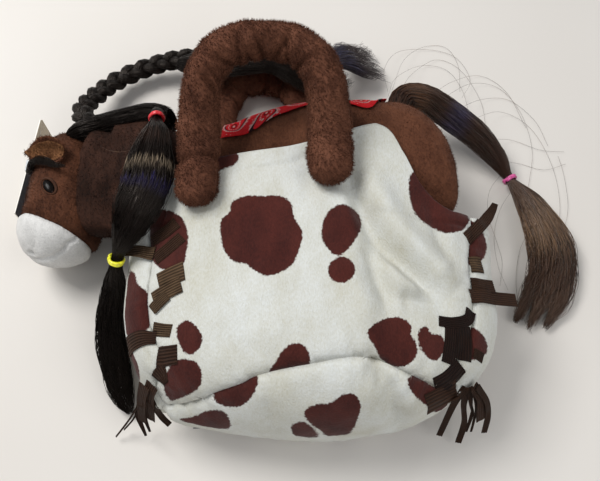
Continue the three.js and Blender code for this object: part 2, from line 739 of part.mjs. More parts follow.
const lockRadius = 3.4;
const redBand = { at: vec(-100, 109, 81), direction: vec(1, -12, 4) };
const besideBagX = -bagHalfWidth - 9;   // where the ponytail hangs down beside the bag
const yellowBand = { at: vec(besideBagX + 6, 15, 64), direction: vec(-5, -9, -14) };
const pinkBand = { at: vec(151, 104, 10), direction: vec(11, -22, -0.5) };
const braidBand = { at: vec(16, 194, 33), direction: vec(20, 0, -2) };

function addHair(torsoCut, headCut, neckCut) {
  const body = torsoCut.add(neckCut).add(headCut);
  const manePath = [
    [-160, 127, 43, 5, 7], [-146, 127, 47, 8, 11], [-126, 125, 52, 9, 14],
    [-108, 124, 58, 9, 15], [-94, 121, 62, 6, 12],
  ];
  const mane = swell(manePath, 8, 8).subtract(body);
  const maneCut = swell(manePath, 8, 8, seatGap);
  addPiece('mane', mane, 'blackHair');
  addPiece('forelock', swell([
    [-190, 90, headZ + 17, 3, 3], [-184, 88, headZ + 25.5, 4.5, 3.5], [-175, 84, headZ + 31.5, 5, 3.5],
    [-166, 80, headZ + 32, 3, 2],
  ], 6, 8).subtract(headCut).subtract(neckCut), 'blackHair');

  const [redIn, redOut] = bandedPoints(redBand.at, redBand.direction, lockRadius);
  const [yellowIn, yellowOut] = bandedPoints(yellowBand.at, yellowBand.direction, lockRadius);
  addPiece('ponytail_upper', swell([
    [-101, 119, 71, 4, 4], redIn, redOut,
    [-98, 92, 88, 8, 5], [-98, 70, 93, 13, 6], [-99, 52, 93, 14, 6.5], [-105, 35, 90, 13, 6],
    [-112, 24, 80, 9, 5], yellowIn, [yellowBand.at.x, yellowBand.at.y, yellowBand.at.z, lockRadius, lockRadius],
  ], 20, 8).subtract(maneCut).subtract(body), 'blackHair');
  const lowerStart = yellowBand.at.clone().addScaledVector(yellowBand.direction, 0.03);
  addPiece('ponytail_lower', swell([
    [lowerStart.x, lowerStart.y, lowerStart.z, lockRadius, lockRadius], yellowOut,
    [besideBagX + 1, 5, 46, 6.5, 6], [besideBagX - 3, -8, 34, 8, 6], [besideBagX - 4, -23, 20, 9, 6],
    [besideBagX - 1, -41, 12, 9, 6], [besideBagX + 4, -57, 8, 7, 5], [besideBagX + 10, -68, 5, 2, 2],
  ], 14, 8), 'blackHair');
  addPiece('red_band', bandSolid(redBand.at, redBand.direction, lockRadius), 'red');
  addPiece('yellow_band', bandSolid(yellowBand.at, yellowBand.direction, lockRadius), 'yellow');

  const [braidIn, braidOut] = bandedPoints(braidBand.at, braidBand.direction, lockRadius);
  addPiece('braid', swell([
    [-160, 130, 43, 5, 5], [-168, 149, 34, 7.5, 7], [-164, 169, 24, 7.5, 7], [-152, 190, 16, 7.5, 7],
    [-130, 204, 15, 7.5, 7], [-102, 208, 21, 7.5, 7], [-72, 203, 30, 7.5, 7], [-33, 199, 33, 7.5, 7],
    [-6, 195, 34, 6.5, 6], braidIn, [braidBand.at.x, braidBand.at.y, braidBand.at.z, lockRadius, lockRadius],
  ], 26, 8).subtract(body).subtract(maneCut), 'blackHair');
  const tuftStart = braidBand.at.clone().addScaledVector(braidBand.direction, 0.025);
  addPiece('braid_tuft', swell([
    [tuftStart.x, tuftStart.y, tuftStart.z, lockRadius, lockRadius], braidOut,
    [28, 202, 28, 12, 6], [37, 208, 20, 19, 6], [47, 214, 11, 16, 4], [54, 218, 7, 3, 2],
  ], 10, 8), 'blackHair');
  addPiece('braid_band', bandSolid(braidBand.at, braidBand.direction, lockRadius), 'satin');

  const [pinkIn, pinkOut] = bandedPoints(pinkBand.at, pinkBand.direction, lockRadius);
  addPiece('tail_upper', swell([
    [62, 132, 54, 6, 6], [69, 147, 51, 9, 8], [86, 151, 45, 11.5, 8], [105, 144, 35, 12, 8.5],
    [125, 134, 25, 11, 7.5], [141, 121, 15, 8, 6], pinkIn,
    [pinkBand.at.x, pinkBand.at.y, pinkBand.at.z, lockRadius, lockRadius],
  ], 16, 8).subtract(body), 'brownHair');
  const tailStart = pinkBand.at.clone().addScaledVector(pinkBand.direction, 0.02);
  addPiece('tail_lower', swell([
    [tailStart.x, tailStart.y, tailStart.z, lockRadius, lockRadius], pinkOut,
    [161, 77, 10, 8, 6], [167, 46, 10, 12, 7], [169, 16, 9, 17, 6], [166, -10, 6, 17, 4],
    [160, -24, 4, 6, 2],
  ], 12, 8), 'brownHair');
  addPiece('pink_band', bandSolid(pinkBand.at, pinkBand.direction, lockRadius), 'pink');
}

// The bandana: a folded cotton band laid round the horse's back, its folds running along it
function addBandana() {
  const columns = 12;
  const rows = 12;
  const surface = (stand) => (i, k) => {
    const x = THREE.MathUtils.lerp(bandanaLowX, bandanaHighX, i / columns);
    const front = THREE.MathUtils.lerp(bandanaFrontTurn, bandanaNarrowTurn, i / columns);
    const turn = THREE.MathUtils.degToRad(THREE.MathUtils.lerp(bandanaRearTurn, front, k / rows));
    const fold = bandanaFold * (0.5 - 0.5 * Math.cos((2 * Math.PI * bandanaFolds * k) / rows));
    return torsoPoint(x, turn, stand + fold);
  };
  const inner = surface(bandanaStand);
  const outer = surface(bandanaStand + bandanaThickness);
  addPiece('bandana', sheet(inner, outer, columns, rows), 'cotton');
}

// The card tag stands on edge beside the face, on a plastic pin through its hole
const tagCentre = vec(-205, 104, 16);
const tagTurn = THREE.MathUtils.degToRad(8);
const tagHole = vec(-204.2, 110, 20);

function addTag() {
  const outline = new THREE.Shape();
  const corner = 2;
  outline.moveTo(-tagLength / 2 + corner, -tagHeight / 2);
  outline.lineTo(tagLength / 2 - corner, -tagHeight / 2);
  outline.lineTo(tagLength / 2, -tagHeight / 2 + corner);
  outline.lineTo(tagLength / 2, tagHeight / 2 - corner);
  outline.lineTo(tagLength / 2 - corner, tagHeight / 2);
  outline.lineTo(-tagLength / 2, tagHeight / 2);
  outline.lineTo(-tagLength / 2, -tagHeight / 2 + corner);
  const hole = new THREE.Path();
  hole.absarc(tagHole.y - tagCentre.y, tagHole.z - tagCentre.z, tagHoleRadius, 0, 2 * Math.PI, true);
  outline.holes.push(hole);
  const geometry = new THREE.ExtrudeGeometry(outline,
    { depth: tagThickness, bevelEnabled: false, curveSegments: 8 });
  geometry.translate(0, 0, -tagThickness / 2);
  const frame = new THREE.Matrix4().makeBasis(vec(0, 1, 0), vec(0, 0, 1), vec(1, 0, 0));
  geometry.applyMatrix4(frame);
  geometry.rotateZ(-tagTurn);
  geometry.translate(tagCentre.x, tagCentre.y, tagCentre.z);
  addPiece('tag_card', toSolid(geometry), 'card');
}

function addFastener(headCut) {
  const shaft = new THREE.CylinderGeometry(pinRadius, pinRadius, 22, 10);
  shaft.rotateZ(Math.PI / 2);
  shaft.translate(tagHole.x + 8, tagHole.y, tagHole.z);
  const bar = new THREE.CylinderGeometry(pinRadius, pinRadius, 9, 10);
  bar.translate(tagHole.x - 3.6, tagHole.y, tagHole.z);
  addPiece('tag_fastener', toSolid(shaft).add(toSolid(bar)).subtract(headCut), 'clearPlastic');
}

addBag();
addHandles();
addFringe();
addHorse();
addTag();
addFastener(swell(headStations, 18, 18, seatGap));

export default object;
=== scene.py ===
# %% [markdown]
# # A toy horse that rides in its own handbag
# The toy is a small bag of cow-print plush with a stuffed horse pushed into its pouch, and it
# lies on its back here. Plain solids of every piece come from a imported frame. This lesson dresses
# them: each new piece stands where its solid is, in metres, and all but the handles move with the
# same body.

# %% Load the frame
import math
from functools import partial

import bpy
import numpy as np
from numpy.linalg import norm
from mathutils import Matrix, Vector
from mathutils.bvhtree import BVHTree


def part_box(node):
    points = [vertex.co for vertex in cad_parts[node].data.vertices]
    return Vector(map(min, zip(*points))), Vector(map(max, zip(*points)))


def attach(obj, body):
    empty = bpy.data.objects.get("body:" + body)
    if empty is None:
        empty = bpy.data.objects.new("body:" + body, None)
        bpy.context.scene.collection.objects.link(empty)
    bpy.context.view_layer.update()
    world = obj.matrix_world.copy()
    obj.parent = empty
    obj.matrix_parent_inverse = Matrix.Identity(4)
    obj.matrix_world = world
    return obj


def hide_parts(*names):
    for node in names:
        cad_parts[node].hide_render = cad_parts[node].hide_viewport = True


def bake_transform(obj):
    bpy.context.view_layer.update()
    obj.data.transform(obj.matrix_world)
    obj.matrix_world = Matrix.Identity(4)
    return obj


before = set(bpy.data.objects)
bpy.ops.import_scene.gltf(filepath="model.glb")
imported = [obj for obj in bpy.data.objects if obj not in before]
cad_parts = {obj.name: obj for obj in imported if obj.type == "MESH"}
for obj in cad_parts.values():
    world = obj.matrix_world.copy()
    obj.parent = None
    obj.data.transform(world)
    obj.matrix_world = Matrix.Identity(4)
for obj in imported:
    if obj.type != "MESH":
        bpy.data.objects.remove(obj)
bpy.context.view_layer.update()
MM = 0.001


def box_mm(node_name):
    """The lowest and the highest corner of a node, in millimetres."""
    return [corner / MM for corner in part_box(node_name)]


# %% [markdown]
# ## The camera comes first
# The photograph looks down on the toy from its base, 65 degrees above the table. With the camera
# in place at once, each piece can be judged from where it will be seen.

# %% Camera
camera_target = Vector((-6, 37, 45)) * MM
camera_place = Vector((-6, -150.9, 448)) * MM
field_of_view = math.radians(48)
bpy.ops.object.camera_add(location=camera_place)
camera = bpy.context.object
camera.rotation_euler = (camera_target - camera_place).to_track_quat("-Z", "Y").to_euler()
camera.data.angle = field_of_view
bpy.context.scene.camera = camera
print("camera", round((camera_place - camera_target).length, 3), "m from the toy")

# %% [markdown]
# ## Where a point lands in the photograph
# The cow print and a few folds are placed in the picture, in its 600 by 481 pixels. This
# helper turns points of the model into those pixels, so a patch lies on whatever carries it.

# %% Picture coordinates of points
PICTURE = (600, 481)
view_axes = np.array(camera.rotation_euler.to_matrix())


def picture_of(points):
    """Pixel columns and rows of points given in millimetres."""
    seen = (np.asarray(points) * MM - np.array(camera_place)) @ view_axes
    focal = PICTURE[0] / 2 / math.tan(field_of_view / 2)
    across = PICTURE[0] / 2 + focal * seen[..., 0] / -seen[..., 2]
    down = PICTURE[1] / 2 - focal * seen[..., 1] / -seen[..., 2]
    return np.stack([across, down], -1)


print("target lands at", picture_of([np.array(camera_target) / MM]).round(1))

# %% [markdown]
# ## Working by hand, in code
# An operator acts on all that is selected, so each step starts by letting go of everything. A
# piece starts as a grid from 0 to 1, is shaped by a rule that gives every point its place, and
# keeps the grid's UV map. A tube is such a grid rolled up, with its seam merged.

# %% Selecting, joining and applying


def mode(name):
    bpy.ops.object.mode_set(mode=name)


def let_go():
    if bpy.context.object and bpy.context.object.mode != "OBJECT":
        mode("OBJECT")
    bpy.ops.object.select_all(action="DESELECT")


def pick(piece):
    let_go()
    piece.select_set(True)
    bpy.context.view_layer.objects.active = piece


def finish_with(piece, kind, **settings):
    """Add one modifier and apply it at once."""
    pick(piece)
    modifier = piece.modifiers.new(kind.title(), kind)
    for name, value in settings.items():
        setattr(modifier, name, value)
    bpy.ops.object.modifier_apply(modifier=modifier.name)


def joined(pieces, into):
    """All of these pieces joined into one of them."""
    let_go()
    for piece in pieces:
        piece.select_set(True)
    bpy.context.view_layer.objects.active = into
    bpy.ops.object.join()
    return into


print("picked at the start:", bpy.context.selected_objects)

# %% Points and grids


def read_mesh(mesh, what):
    flat = np.empty(len(mesh.vertices) * 3, np.float32)
    mesh.vertices.foreach_get(what, flat)
    return flat.reshape(-1, 3).astype(float)


def points_of(piece):
    """A piece's points in millimetres."""
    return read_mesh(piece.data, "co") / MM


def normals_of(piece):
    return read_mesh(piece.data, "normal")


def place_points(piece, points):
    piece.data.vertices.foreach_set("co", (np.asarray(points) * MM).astype(np.float32).ravel())
    piece.data.update()


def smooth_shaded(piece):
    pick(piece)
    bpy.ops.object.shade_smooth()
    return piece


def mesh_piece(name, points, faces):
    """A new piece of these points, in millimetres."""
    mesh = bpy.data.meshes.new(name)
    mesh.from_pydata((points * MM).tolist(), [], faces)
    piece = bpy.data.objects.new(name, mesh)
    bpy.context.collection.objects.link(piece)
    return smooth_shaded(piece)


def size_of(piece):
    return [round(c / MM) for c in piece.dimensions]


# %% Grids


def grid(name, columns, rows, place):
    """A grid whose point (u, v) goes where place(u, v) says, in millimetres."""
    let_go()
    bpy.ops.mesh.primitive_grid_add(x_subdivisions=columns, y_subdivisions=rows, size=1)
    piece = bpy.context.object
    piece.name = piece.data.name = name
    flat = points_of(piece) * MM + 0.5
    place_points(piece, place(flat[:, 0], flat[:, 1]))
    return piece


def clean(piece, merge=0.02):
    """Merge doubles, close holes left by poles and turn the faces outwards."""
    pick(piece)
    mode("EDIT")
    bpy.ops.mesh.select_all(action="SELECT")
    bpy.ops.mesh.remove_doubles(threshold=merge * MM)
    bpy.ops.mesh.dissolve_degenerate(threshold=merge * MM / 4)
    bpy.ops.mesh.normals_make_consistent(inside=False)
    mode("OBJECT")
    bpy.ops.object.shade_smooth()
    return piece


# %% Easing, unit vectors, smooth lines and soft noise


def ease(low, high, value):
    """A smooth step from 0 at low to 1 at high."""
    t = np.clip((np.asarray(value, float) - low) / (high - low), 0, 1)
    return t * t * (3 - 2 * t)


def bell(x):
    """1 at 0, falling to nothing by about 2 on either side."""
    return np.exp(-(x**2))


def unit(vectors):
    """The same directions, each of length 1."""
    return vectors / np.maximum(norm(vectors, axis=-1, keepdims=True), 1e-9)


def smooth_line(points, steps):
    """Points on a smooth curve through a few given ones, any number of columns."""
    p = np.asarray(points, float)
    p = np.vstack([2 * p[0] - p[1], p, 2 * p[-1] - p[-2]])
    t = np.linspace(0, len(p) - 3 - 1e-9, steps)
    i = t.astype(int)
    f = (t - i)[:, None]
    a, b, c, d = p[i], p[i + 1], p[i + 2], p[i + 3]
    return 0.5 * (2 * b + (c - a) * f + (2 * a - 5 * b + 4 * c - d) * f**2
                  + (3 * b - a - 3 * c + d) * f**3)


def lumps(points, size, seed=0):
    """Soft noise from -1 to 1 over points in millimetres, with bumps of this size."""
    p = np.asarray(points) / size + seed * 7.3
    total = np.zeros(len(p))
    turns = np.random.default_rng(seed + 11)
    for _ in range(5):
        direction = turns.normal(size=(2, 3))
        direction *= 3.4 / norm(direction, axis=1, keepdims=True)
        total += np.sin(p @ direction[0] + 2 * np.sin(p @ direction[1] * 0.6 + turns.uniform(0, 6)))
    return total / 3.2


print("a smooth line through a corner passes", smooth_line([[0, 0], [10, 0], [10, 10]], 5)[1].round(1))

# %% [markdown]
# ## Plush, from one shader group
# Minky plush is a short pile of polyester. It has almost no gloss of its own: what shows is the
# nap, brushed this way and that, and tiny tufts. A group makes those once, from the object's own
# coordinates, and each plush places it with its own colours and depth.

# %% Node helpers


def new_group(name, inputs, outputs):
    """A shader group with named sockets, given as (name, kind, default)."""
    tree = bpy.data.node_groups.new(name, "ShaderNodeTree")
    for label, kind, value in inputs:
        socket = tree.interface.new_socket(label, in_out="INPUT", socket_type=kind)
        socket.default_value = value
    for label, kind in outputs:
        tree.interface.new_socket(label, in_out="OUTPUT", socket_type=kind)
    return tree, tree.nodes.new("NodeGroupInput"), tree.nodes.new("NodeGroupOutput")


def node(tree, kind, links=(), **settings):
    """One shader node, with its settings and what feeds each of its inputs."""
    made = tree.nodes.new("ShaderNode" + kind)
    for name, value in settings.items():
        setattr(made, name, value)
    for socket, source in dict(links).items():
        if hasattr(source, "links"):
            tree.links.new(source, made.inputs[socket])
        else:
            made.inputs[socket].default_value = source
    return made


# %% Noise, ranges, sums and mixes


def noise_of(tree, coordinates, scale, detail=2.0, roughness=0.5):
    return node(tree, "TexNoise", {"Vector": coordinates, "Scale": scale,
                "Detail": detail, "Roughness": roughness}).outputs["Fac"]


def ranged(tree, value, low, high, to_low=0.0, to_high=1.0):
    return node(tree, "MapRange", {"Value": value, "From Min": low, "From Max": high,
                "To Min": to_low, "To Max": to_high}).outputs["Result"]


def maths(tree, operation, a, b=0.0):
    return node(tree, "Math", {0: a, 1: b}, operation=operation).outputs[0]


def operations(tree):
    """Add, subtract, multiply and the greater of two, as nodes of this tree."""
    return [partial(maths, tree, kind) for kind in ("ADD", "SUBTRACT", "MULTIPLY", "MAXIMUM")]


def mixed(tree, share, a, b):
    made = node(tree, "Mix", data_type="RGBA")
    for socket, source in ((made.inputs[0], share), (made.inputs[6], a), (made.inputs[7], b)):
        if hasattr(source, "links"):
            tree.links.new(source, socket)
        else:
            socket.default_value = source
    return made.outputs[2]


# %% Colours and materials


def rgb(red, green, blue):
    """A written screen colour, from 0 to 255, as the linear colour that a shader takes."""
    def linear(c):
        c /= 255
        return c / 12.92 if c <= 0.04045 else ((c + 0.055) / 1.055) ** 2.4
    return (linear(red), linear(green), linear(blue), 1.0)


def start_material(name, **constants):
    """A material with these constants on its Principled shader, and its object coordinates."""
    material = bpy.data.materials.new(name)
    material.use_nodes = True
    tree = material.node_tree
    shader = tree.nodes["Principled BSDF"]
    for label, value in constants.items():
        shader.inputs[label.replace("_", " ")].default_value = value
    return material, tree, shader, node(tree, "TexCoord").outputs["Object"]


def feed(tree, shader, base=None, roughness=None, height=None, depth=0.0005):
    """Link what changes over the surface to the shader."""
    if base is not None:
        tree.links.new(base, shader.inputs["Base Color"])
    if roughness is not None:
        tree.links.new(roughness, shader.inputs["Roughness"])
    if height is not None:
        bump = node(tree, "Bump", {"Height": height, "Distance": depth})
        tree.links.new(bump.outputs[0], shader.inputs["Normal"])


def mottled(name, dark, light, grain, rough=None, rough_grain=None, spread=(0.3, 0.7), **constants):
    """A finish whose colour wanders between two, and its roughness too if rough is given."""
    material, tree, shader, at = start_material(name, **constants)
    roughness = rough and ranged(tree, noise_of(tree, at, rough_grain), 0.3, 0.7, *rough)
    feed(tree, shader, mixed(tree, ranged(tree, noise_of(tree, at, grain), *spread), dark, light), roughness)
    return material


print("screen grey 128 is", round(rgb(128, 128, 128)[0], 3), "in a shader")

# %% The pile group
FLOAT, COLOUR, VECTOR = "NodeSocketFloat", "NodeSocketColor", "NodeSocketVector"


def make_pile_group():
    tree, given, result = new_group("Pile", [
        ("Coordinates", VECTOR, (0, 0, 0)), ("Dark", COLOUR, (0, 0, 0, 1)),
        ("Light", COLOUR, (1, 1, 1, 1)), ("Tuft scale", FLOAT, 900.0), ("Nap scale", FLOAT, 45.0)],
        [("Colour", COLOUR), ("Roughness", FLOAT), ("Height", FLOAT)])
    at = given.outputs["Coordinates"]
    brushed = node(tree, "Mapping", {"Vector": at, "Scale": (1.0, 0.45, 1.0)}).outputs[0]
    tuft = noise_of(tree, brushed, given.outputs["Tuft scale"], 3.0, 0.65)
    nap = noise_of(tree, brushed, given.outputs["Nap scale"], 3.0, 0.6)
    add, _, times, _ = operations(tree)
    share = add(times(ranged(tree, tuft, 0.3, 0.7), 0.45), times(ranged(tree, nap, 0.32, 0.68), 0.55))
    tree.links.new(mixed(tree, share, given.outputs["Dark"], given.outputs["Light"]),
                   result.inputs["Colour"])
    tree.links.new(ranged(tree, nap, 0.3, 0.7, 0.95, 0.8), result.inputs["Roughness"])
    tree.links.new(add(times(tuft, 0.8), times(nap, 0.6)), result.inputs["Height"])
    return tree


pile_group = make_pile_group()


def pile(tree, at, dark, light, tuft, nap):
    """The pile group with these values. Tuft and nap are the sizes of a tuft and of a brushed patch."""
    return node(tree, "Group", {"Coordinates": at, "Dark": dark, "Light": light,
                "Tuft scale": 1 / (tuft * MM), "Nap scale": 1 / (nap * MM)}, node_tree=pile_group)


print("pile group has", len(pile_group.nodes), "nodes")

# %% [markdown]
# ## The plush colours
# The handles are chocolate brown with a lighter bloom where the pile stands up. The horse is a
# shade darker and its face darker again. Its neck is darkest, and part of that darkness is
# painted shade. The muzzle is white, and the ears are lined with tan.

# %% Brown, muzzle and ear plush


def plush(name, dark, light, tuft=1.1, nap=22, depth=0.0007, sheen=0.35):
    material, tree, shader, at = start_material(
        name, Sheen_Weight=sheen, Sheen_Roughness=0.45, Sheen_Tint=light, Specular_IOR_Level=0.2)
    fur = pile(tree, at, dark, light, tuft, nap)
    feed(tree, shader, fur.outputs["Colour"], fur.outputs["Roughness"], fur.outputs["Height"], depth)
    return material


brown_plush = plush("brown_plush", rgb(58, 31, 21), rgb(112, 70, 50), tuft=1.3, nap=12, sheen=0.2)
horse_plush = plush("horse_plush", rgb(54, 27, 17), rgb(108, 66, 44), nap=14, sheen=0.25)
# The neck's colours are darker partly as painted shade.
shaded_neck_plush = plush("shaded_neck_plush", rgb(15, 6, 3), rgb(60, 33, 20), nap=12, sheen=0.1)
face_plush = plush("face_plush", rgb(34, 16, 9), rgb(98, 58, 37), nap=12, sheen=0.15)
muzzle_plush = plush("muzzle_plush", rgb(190, 188, 184), rgb(230, 228, 224),
                     tuft=0.9, nap=14, sheen=0.2)
tan_plush = plush("tan_plush", rgb(78, 47, 28), rgb(138, 95, 60), tuft=1.4, nap=6, sheen=0.2)
print(len(bpy.data.materials), "materials so far")

# %% [markdown]
# ## The cow print
# One plush makes the whole bag: cream pile with red-brown patches dyed into it. How far a point
# lies inside a patch is stored on the mesh in millimetres, and the shader frays that edge with
# noise, because dye wicks along the tufts.

# %% Cow-print plush


def make_cow_plush():
    cream = rgb(184, 180, 162), rgb(214, 216, 213)
    patch = rgb(46, 17, 14), rgb(82, 36, 29)
    material, tree, shader, at = start_material(
        "cow_plush", Sheen_Weight=0.08, Sheen_Roughness=0.5, Specular_IOR_Level=0.15)
    white = pile(tree, at, *cream, tuft=0.9, nap=26)
    brown = pile(tree, at, *patch, tuft=0.9, nap=16)
    add, minus, times, _ = operations(tree)
    inside = node(tree, "Attribute", attribute_name="print").outputs["Fac"]
    fray = times(minus(noise_of(tree, at, 700, 2.0), 0.5), 2.4)
    share = ranged(tree, add(inside, fray), -0.45, 0.45)
    feed(tree, shader, mixed(tree, share, white.outputs["Colour"], brown.outputs["Colour"]),
         white.outputs["Roughness"], white.outputs["Height"], 0.0006)
    return material


cow_plush = make_cow_plush()
print("cow plush has", len(cow_plush.node_tree.nodes), "nodes")

# %% [markdown]
# ## The room light
# A pale floor, a broad soft key beyond the toy on the left, a weaker fill on the near right and an
# even world light. The levels were set by comparing mean colours with the photograph's.

# %% Floor and lights
let_go()
bpy.ops.mesh.primitive_plane_add(size=3, location=(0, 0, -0.0005))
floor = bpy.context.object
floor.name = "floor"
floor.data.materials.append(mottled("floor_paint", rgb(214, 208, 200), rgb(222, 217, 210), 3.0,
                                    Roughness=0.9, Specular_IOR_Level=0.1))


def soft_lamp(name, place, size, watts):
    let_go()
    bpy.ops.object.light_add(type="AREA", location=place)
    lamp = bpy.context.object
    lamp.name = name
    lamp.data.size, lamp.data.energy = size, watts
    lamp.rotation_euler = (camera_target - Vector(place)).to_track_quat("-Z", "Y").to_euler()


soft_lamp("key", (-0.55, 0.35, 0.95), 0.5, 10.2)
soft_lamp("fill", (0.75, -0.5, 0.8), 0.8, 4)
world = bpy.data.worlds.new("room")
bpy.context.scene.world = world
world.use_nodes = True
background = world.node_tree.nodes["Background"]
background.inputs["Color"].default_value = rgb(232, 236, 242)
background.inputs["Strength"].default_value = 0.48
bpy.context.scene.view_settings.view_transform = "Standard"
print("world light", round(background.inputs["Strength"].default_value, 2))

# %% [markdown]
# ## The bag's skin
# The bag is a pouch that is rounder at its foot and narrows to its mouth. It could be sewn from
# five flat plates, but plush never shows a plate: so one grid is wrapped round the stuffed form,
# lofted from rounded sections, and only then parted into its five panels along the seams.

# %% The form of the bag, from the frame
gusset_high = box_mm("right_gusset")[1]
back_high = box_mm("back_panel")[1]
half_width, gusset_top_y = gusset_high.x, gusset_high.y
mouth_half_width = 101
foot_y, shoulder_y, hip_y = box_mm("base_panel")[0].y, -20, 0
bag_top, foot_tip_z = box_mm("front_panel")[1].z, 28
front_seam_z, back_seam_rise = 74, 14
back_lift, lift_start, lift_end = 16.3, 5, 45  # how far the back rises off the table, and where
bag_roundness = 2.3  # of a section: 2 is an ellipse, and more is squarer
foot_power, sole_power = 2.6, 4  # the same for the foot, from above and from below
skin_wall = 2.6
HALVINGS = 24  # steps of a search by halving
print("bag", round(2 * half_width), "mm wide,", round(bag_top), "mm high")


def lift_at(y):
    return back_lift * ease(lift_start, lift_end, y)


def bag_section(y):
    """Half width, top and bottom of the bag at y."""
    u = np.clip((shoulder_y - y) / (shoulder_y - foot_y), 0, 1)
    v = np.clip((hip_y - y) / (hip_y - foot_y), 0, 1)
    narrow = ease(gusset_top_y - 20, back_high.y, y)
    width = half_width + (mouth_half_width - half_width) * narrow
    width = width * (1 - v**foot_power) ** (1 / foot_power)
    top = foot_tip_z + (bag_top - foot_tip_z) * (1 - u**foot_power) ** (1 / foot_power)
    bottom = foot_tip_z + (lift_at(y) - foot_tip_z) * (1 - u**sole_power) ** (1 / sole_power)
    return width, top, bottom


def bag_point(turn, y):
    """The skin at an angle round the section, 0 at +X and a quarter turn at the top."""
    width, top, bottom = bag_section(y)

    def bend(value):
        return np.sign(value) * np.abs(value) ** (2 / bag_roundness)
    middle, rise = (top + bottom) / 2, (top - bottom) / 2
    return np.stack([width * bend(np.cos(turn)), y + 0 * turn, middle + rise * bend(np.sin(turn))], -1)


# %% [markdown]
# ## The line of the mouth
# The front panel's edge climbs from left to right between the handle ends, and both panels are
# cut away at their sides, so that the neck and the rump of the horse can come out.

# %% Mouth edge of the front and of the back
front_edge = smooth_line([[-97, 38], [-91, 48], [-84, 65], [-81, 72], [-54, 75], [-6, 82],
                          [36, 97], [45, 98], [52, 93], [58, 80], [69, 56], [82, 43], [97, 38]], 90)
back_edge = smooth_line([[-97, 38], [-87, 50], [-81, 76], [-78, 104], [-71, 113], [-30, 113],
                         [43, 113], [50, 106], [58, 76], [74, 50], [97, 38]], 90)


def mouth_y(turn):
    """Where the skin ends, for each angle round the bag, found by halving."""
    low, high = np.full(len(turn), gusset_top_y - 1.0), np.full(len(turn), back_high.y + 6.0)
    for _ in range(HALVINGS):
        middle = (low + high) / 2
        x = bag_point(turn, middle)[:, 0]
        edge = np.where(np.sin(turn) > 0, np.interp(x, front_edge[:, 0], front_edge[:, 1]),
                        np.interp(x, back_edge[:, 0], back_edge[:, 1]))
        below = middle < edge
        low, high = np.where(below, middle, low), np.where(below, high, middle)
    return low


print("the mouth's front edge climbs", round(float(np.ptp(front_edge[:, 1]))), "mm")

# %% [markdown]
# ## Seams, puckers and folds
# A sewn seam draws its two edges in, and the plush between seams stays plump. Thread pulled
# tight gathers small puckers square to the seam. The bag is half empty on its right side, so
# long soft folds run there from under the handle. All are set as how far the skin moves along
# its own normal.

# %% Points of the bag's form


def ring_at_height(side, height, start=foot_y + 7):
    """A line up one side of the bag from this y, at a height that depends on y."""
    line = []
    for y in np.linspace(start, gusset_top_y, 70):
        width, top, bottom = bag_section(y)
        z = min(max(height(y), bottom + 2), top - 2)
        share = abs(2 * (z - (top + bottom) / 2) / (top - bottom)) ** bag_roundness
        line.append([side * width * (1 - share) ** (1 / bag_roundness), y, z])
    return np.array(line)


def top_of_skin(x, y):
    """The height of the upper skin over a point of the plan."""
    width, top, bottom = bag_section(y)
    share = np.clip(np.abs(x) / width, 0, 1) ** bag_roundness
    return (top + bottom) / 2 + (top - bottom) / 2 * (1 - share) ** (1 / bag_roundness)


def foot_of_skin(x, z):
    """How far down the bag reaches at this x and z, found by halving."""
    low, high = np.full(np.shape(z), foot_y), np.full(np.shape(z), shoulder_y * 1.0)
    for _ in range(HALVINGS):
        middle = (low + high) / 2
        width, top, bottom = bag_section(middle)
        reach = (np.abs(x) / width) ** bag_roundness
        reach = reach + (np.abs(2 * z - top - bottom) / (top - bottom)) ** bag_roundness
        low, high = np.where(reach > 1, middle, low), np.where(reach > 1, high, middle)
    return high


print("skin over the middle is", round(float(top_of_skin(0, 0))), "mm high")

# %% Seam lines of the bag


def front_seam(x, y):
    """How high the seam between the front and a gusset runs: it drops round the lower corners."""
    return front_seam_z - np.where(x < 0, 27 * ease(-50, -72, y), 14 * ease(-48, -68, y))


base_half_width = 84
base_seam_plan = smooth_line([[-88, -69], [-80.5, -72], [-72, -74], [-62, -73.4], [-54, -70.8],
                              [-39, -66.9], [-28, -62.5], [0, -57], [30, -53], [57, -62], [73, -67],
                              [84, -66]], 200)
base_x, base_y = base_seam_plan.T
corner_high = {"left": 49, "right": 61}
sole_x = np.linspace(-half_width + 6, half_width - 6, 240)
seam_lines = {
    "base": np.stack([base_x, base_y, top_of_skin(base_x, base_y)], 1),
    "front_left": ring_at_height(-1, lambda y: front_seam(-1, y), -69),
    "front_right": ring_at_height(1, lambda y: front_seam(1, y), -66),
    "back_left": ring_at_height(-1, lambda y: back_seam_rise + lift_at(y)),
    "back_right": ring_at_height(1, lambda y: back_seam_rise + lift_at(y)),
    "sole": np.stack([sole_x, foot_of_skin(sole_x, back_seam_rise + 0 * sole_x),
                      back_seam_rise + 0 * sole_x], 1),
}
for side, label in ((-1, "left"), (1, "right")):
    corner_z = np.linspace(back_seam_rise, corner_high[label], 90)
    corner_x = np.full(len(corner_z), side * base_half_width)
    seam_lines["base_" + label] = np.stack([corner_x, foot_of_skin(corner_x, corner_z), corner_z], 1)
print(len(seam_lines), "seams")

# %% Distance from a seam


def run_of(path):
    """How far along a path each of its points is."""
    return np.concatenate([[0], np.cumsum(norm(np.diff(path, axis=0), axis=1))])


def evenly(path, steps):
    """A path again with evenly spaced points, and how far along it each one is."""
    run = run_of(path)
    even = np.linspace(0, run[-1], steps)
    return np.stack([np.interp(even, run, path[:, k]) for k in range(3)], 1), even


def seam_distance(points, line):
    """How far each point lies from a seam, and how far along it."""
    gaps = norm(points[:, None] - line[None], axis=2)
    nearest = gaps.argmin(1)
    return gaps[np.arange(len(points)), nearest], run_of(line)[nearest]


print("base seam is", round(run_of(seam_lines["base"])[-1]), "mm long")

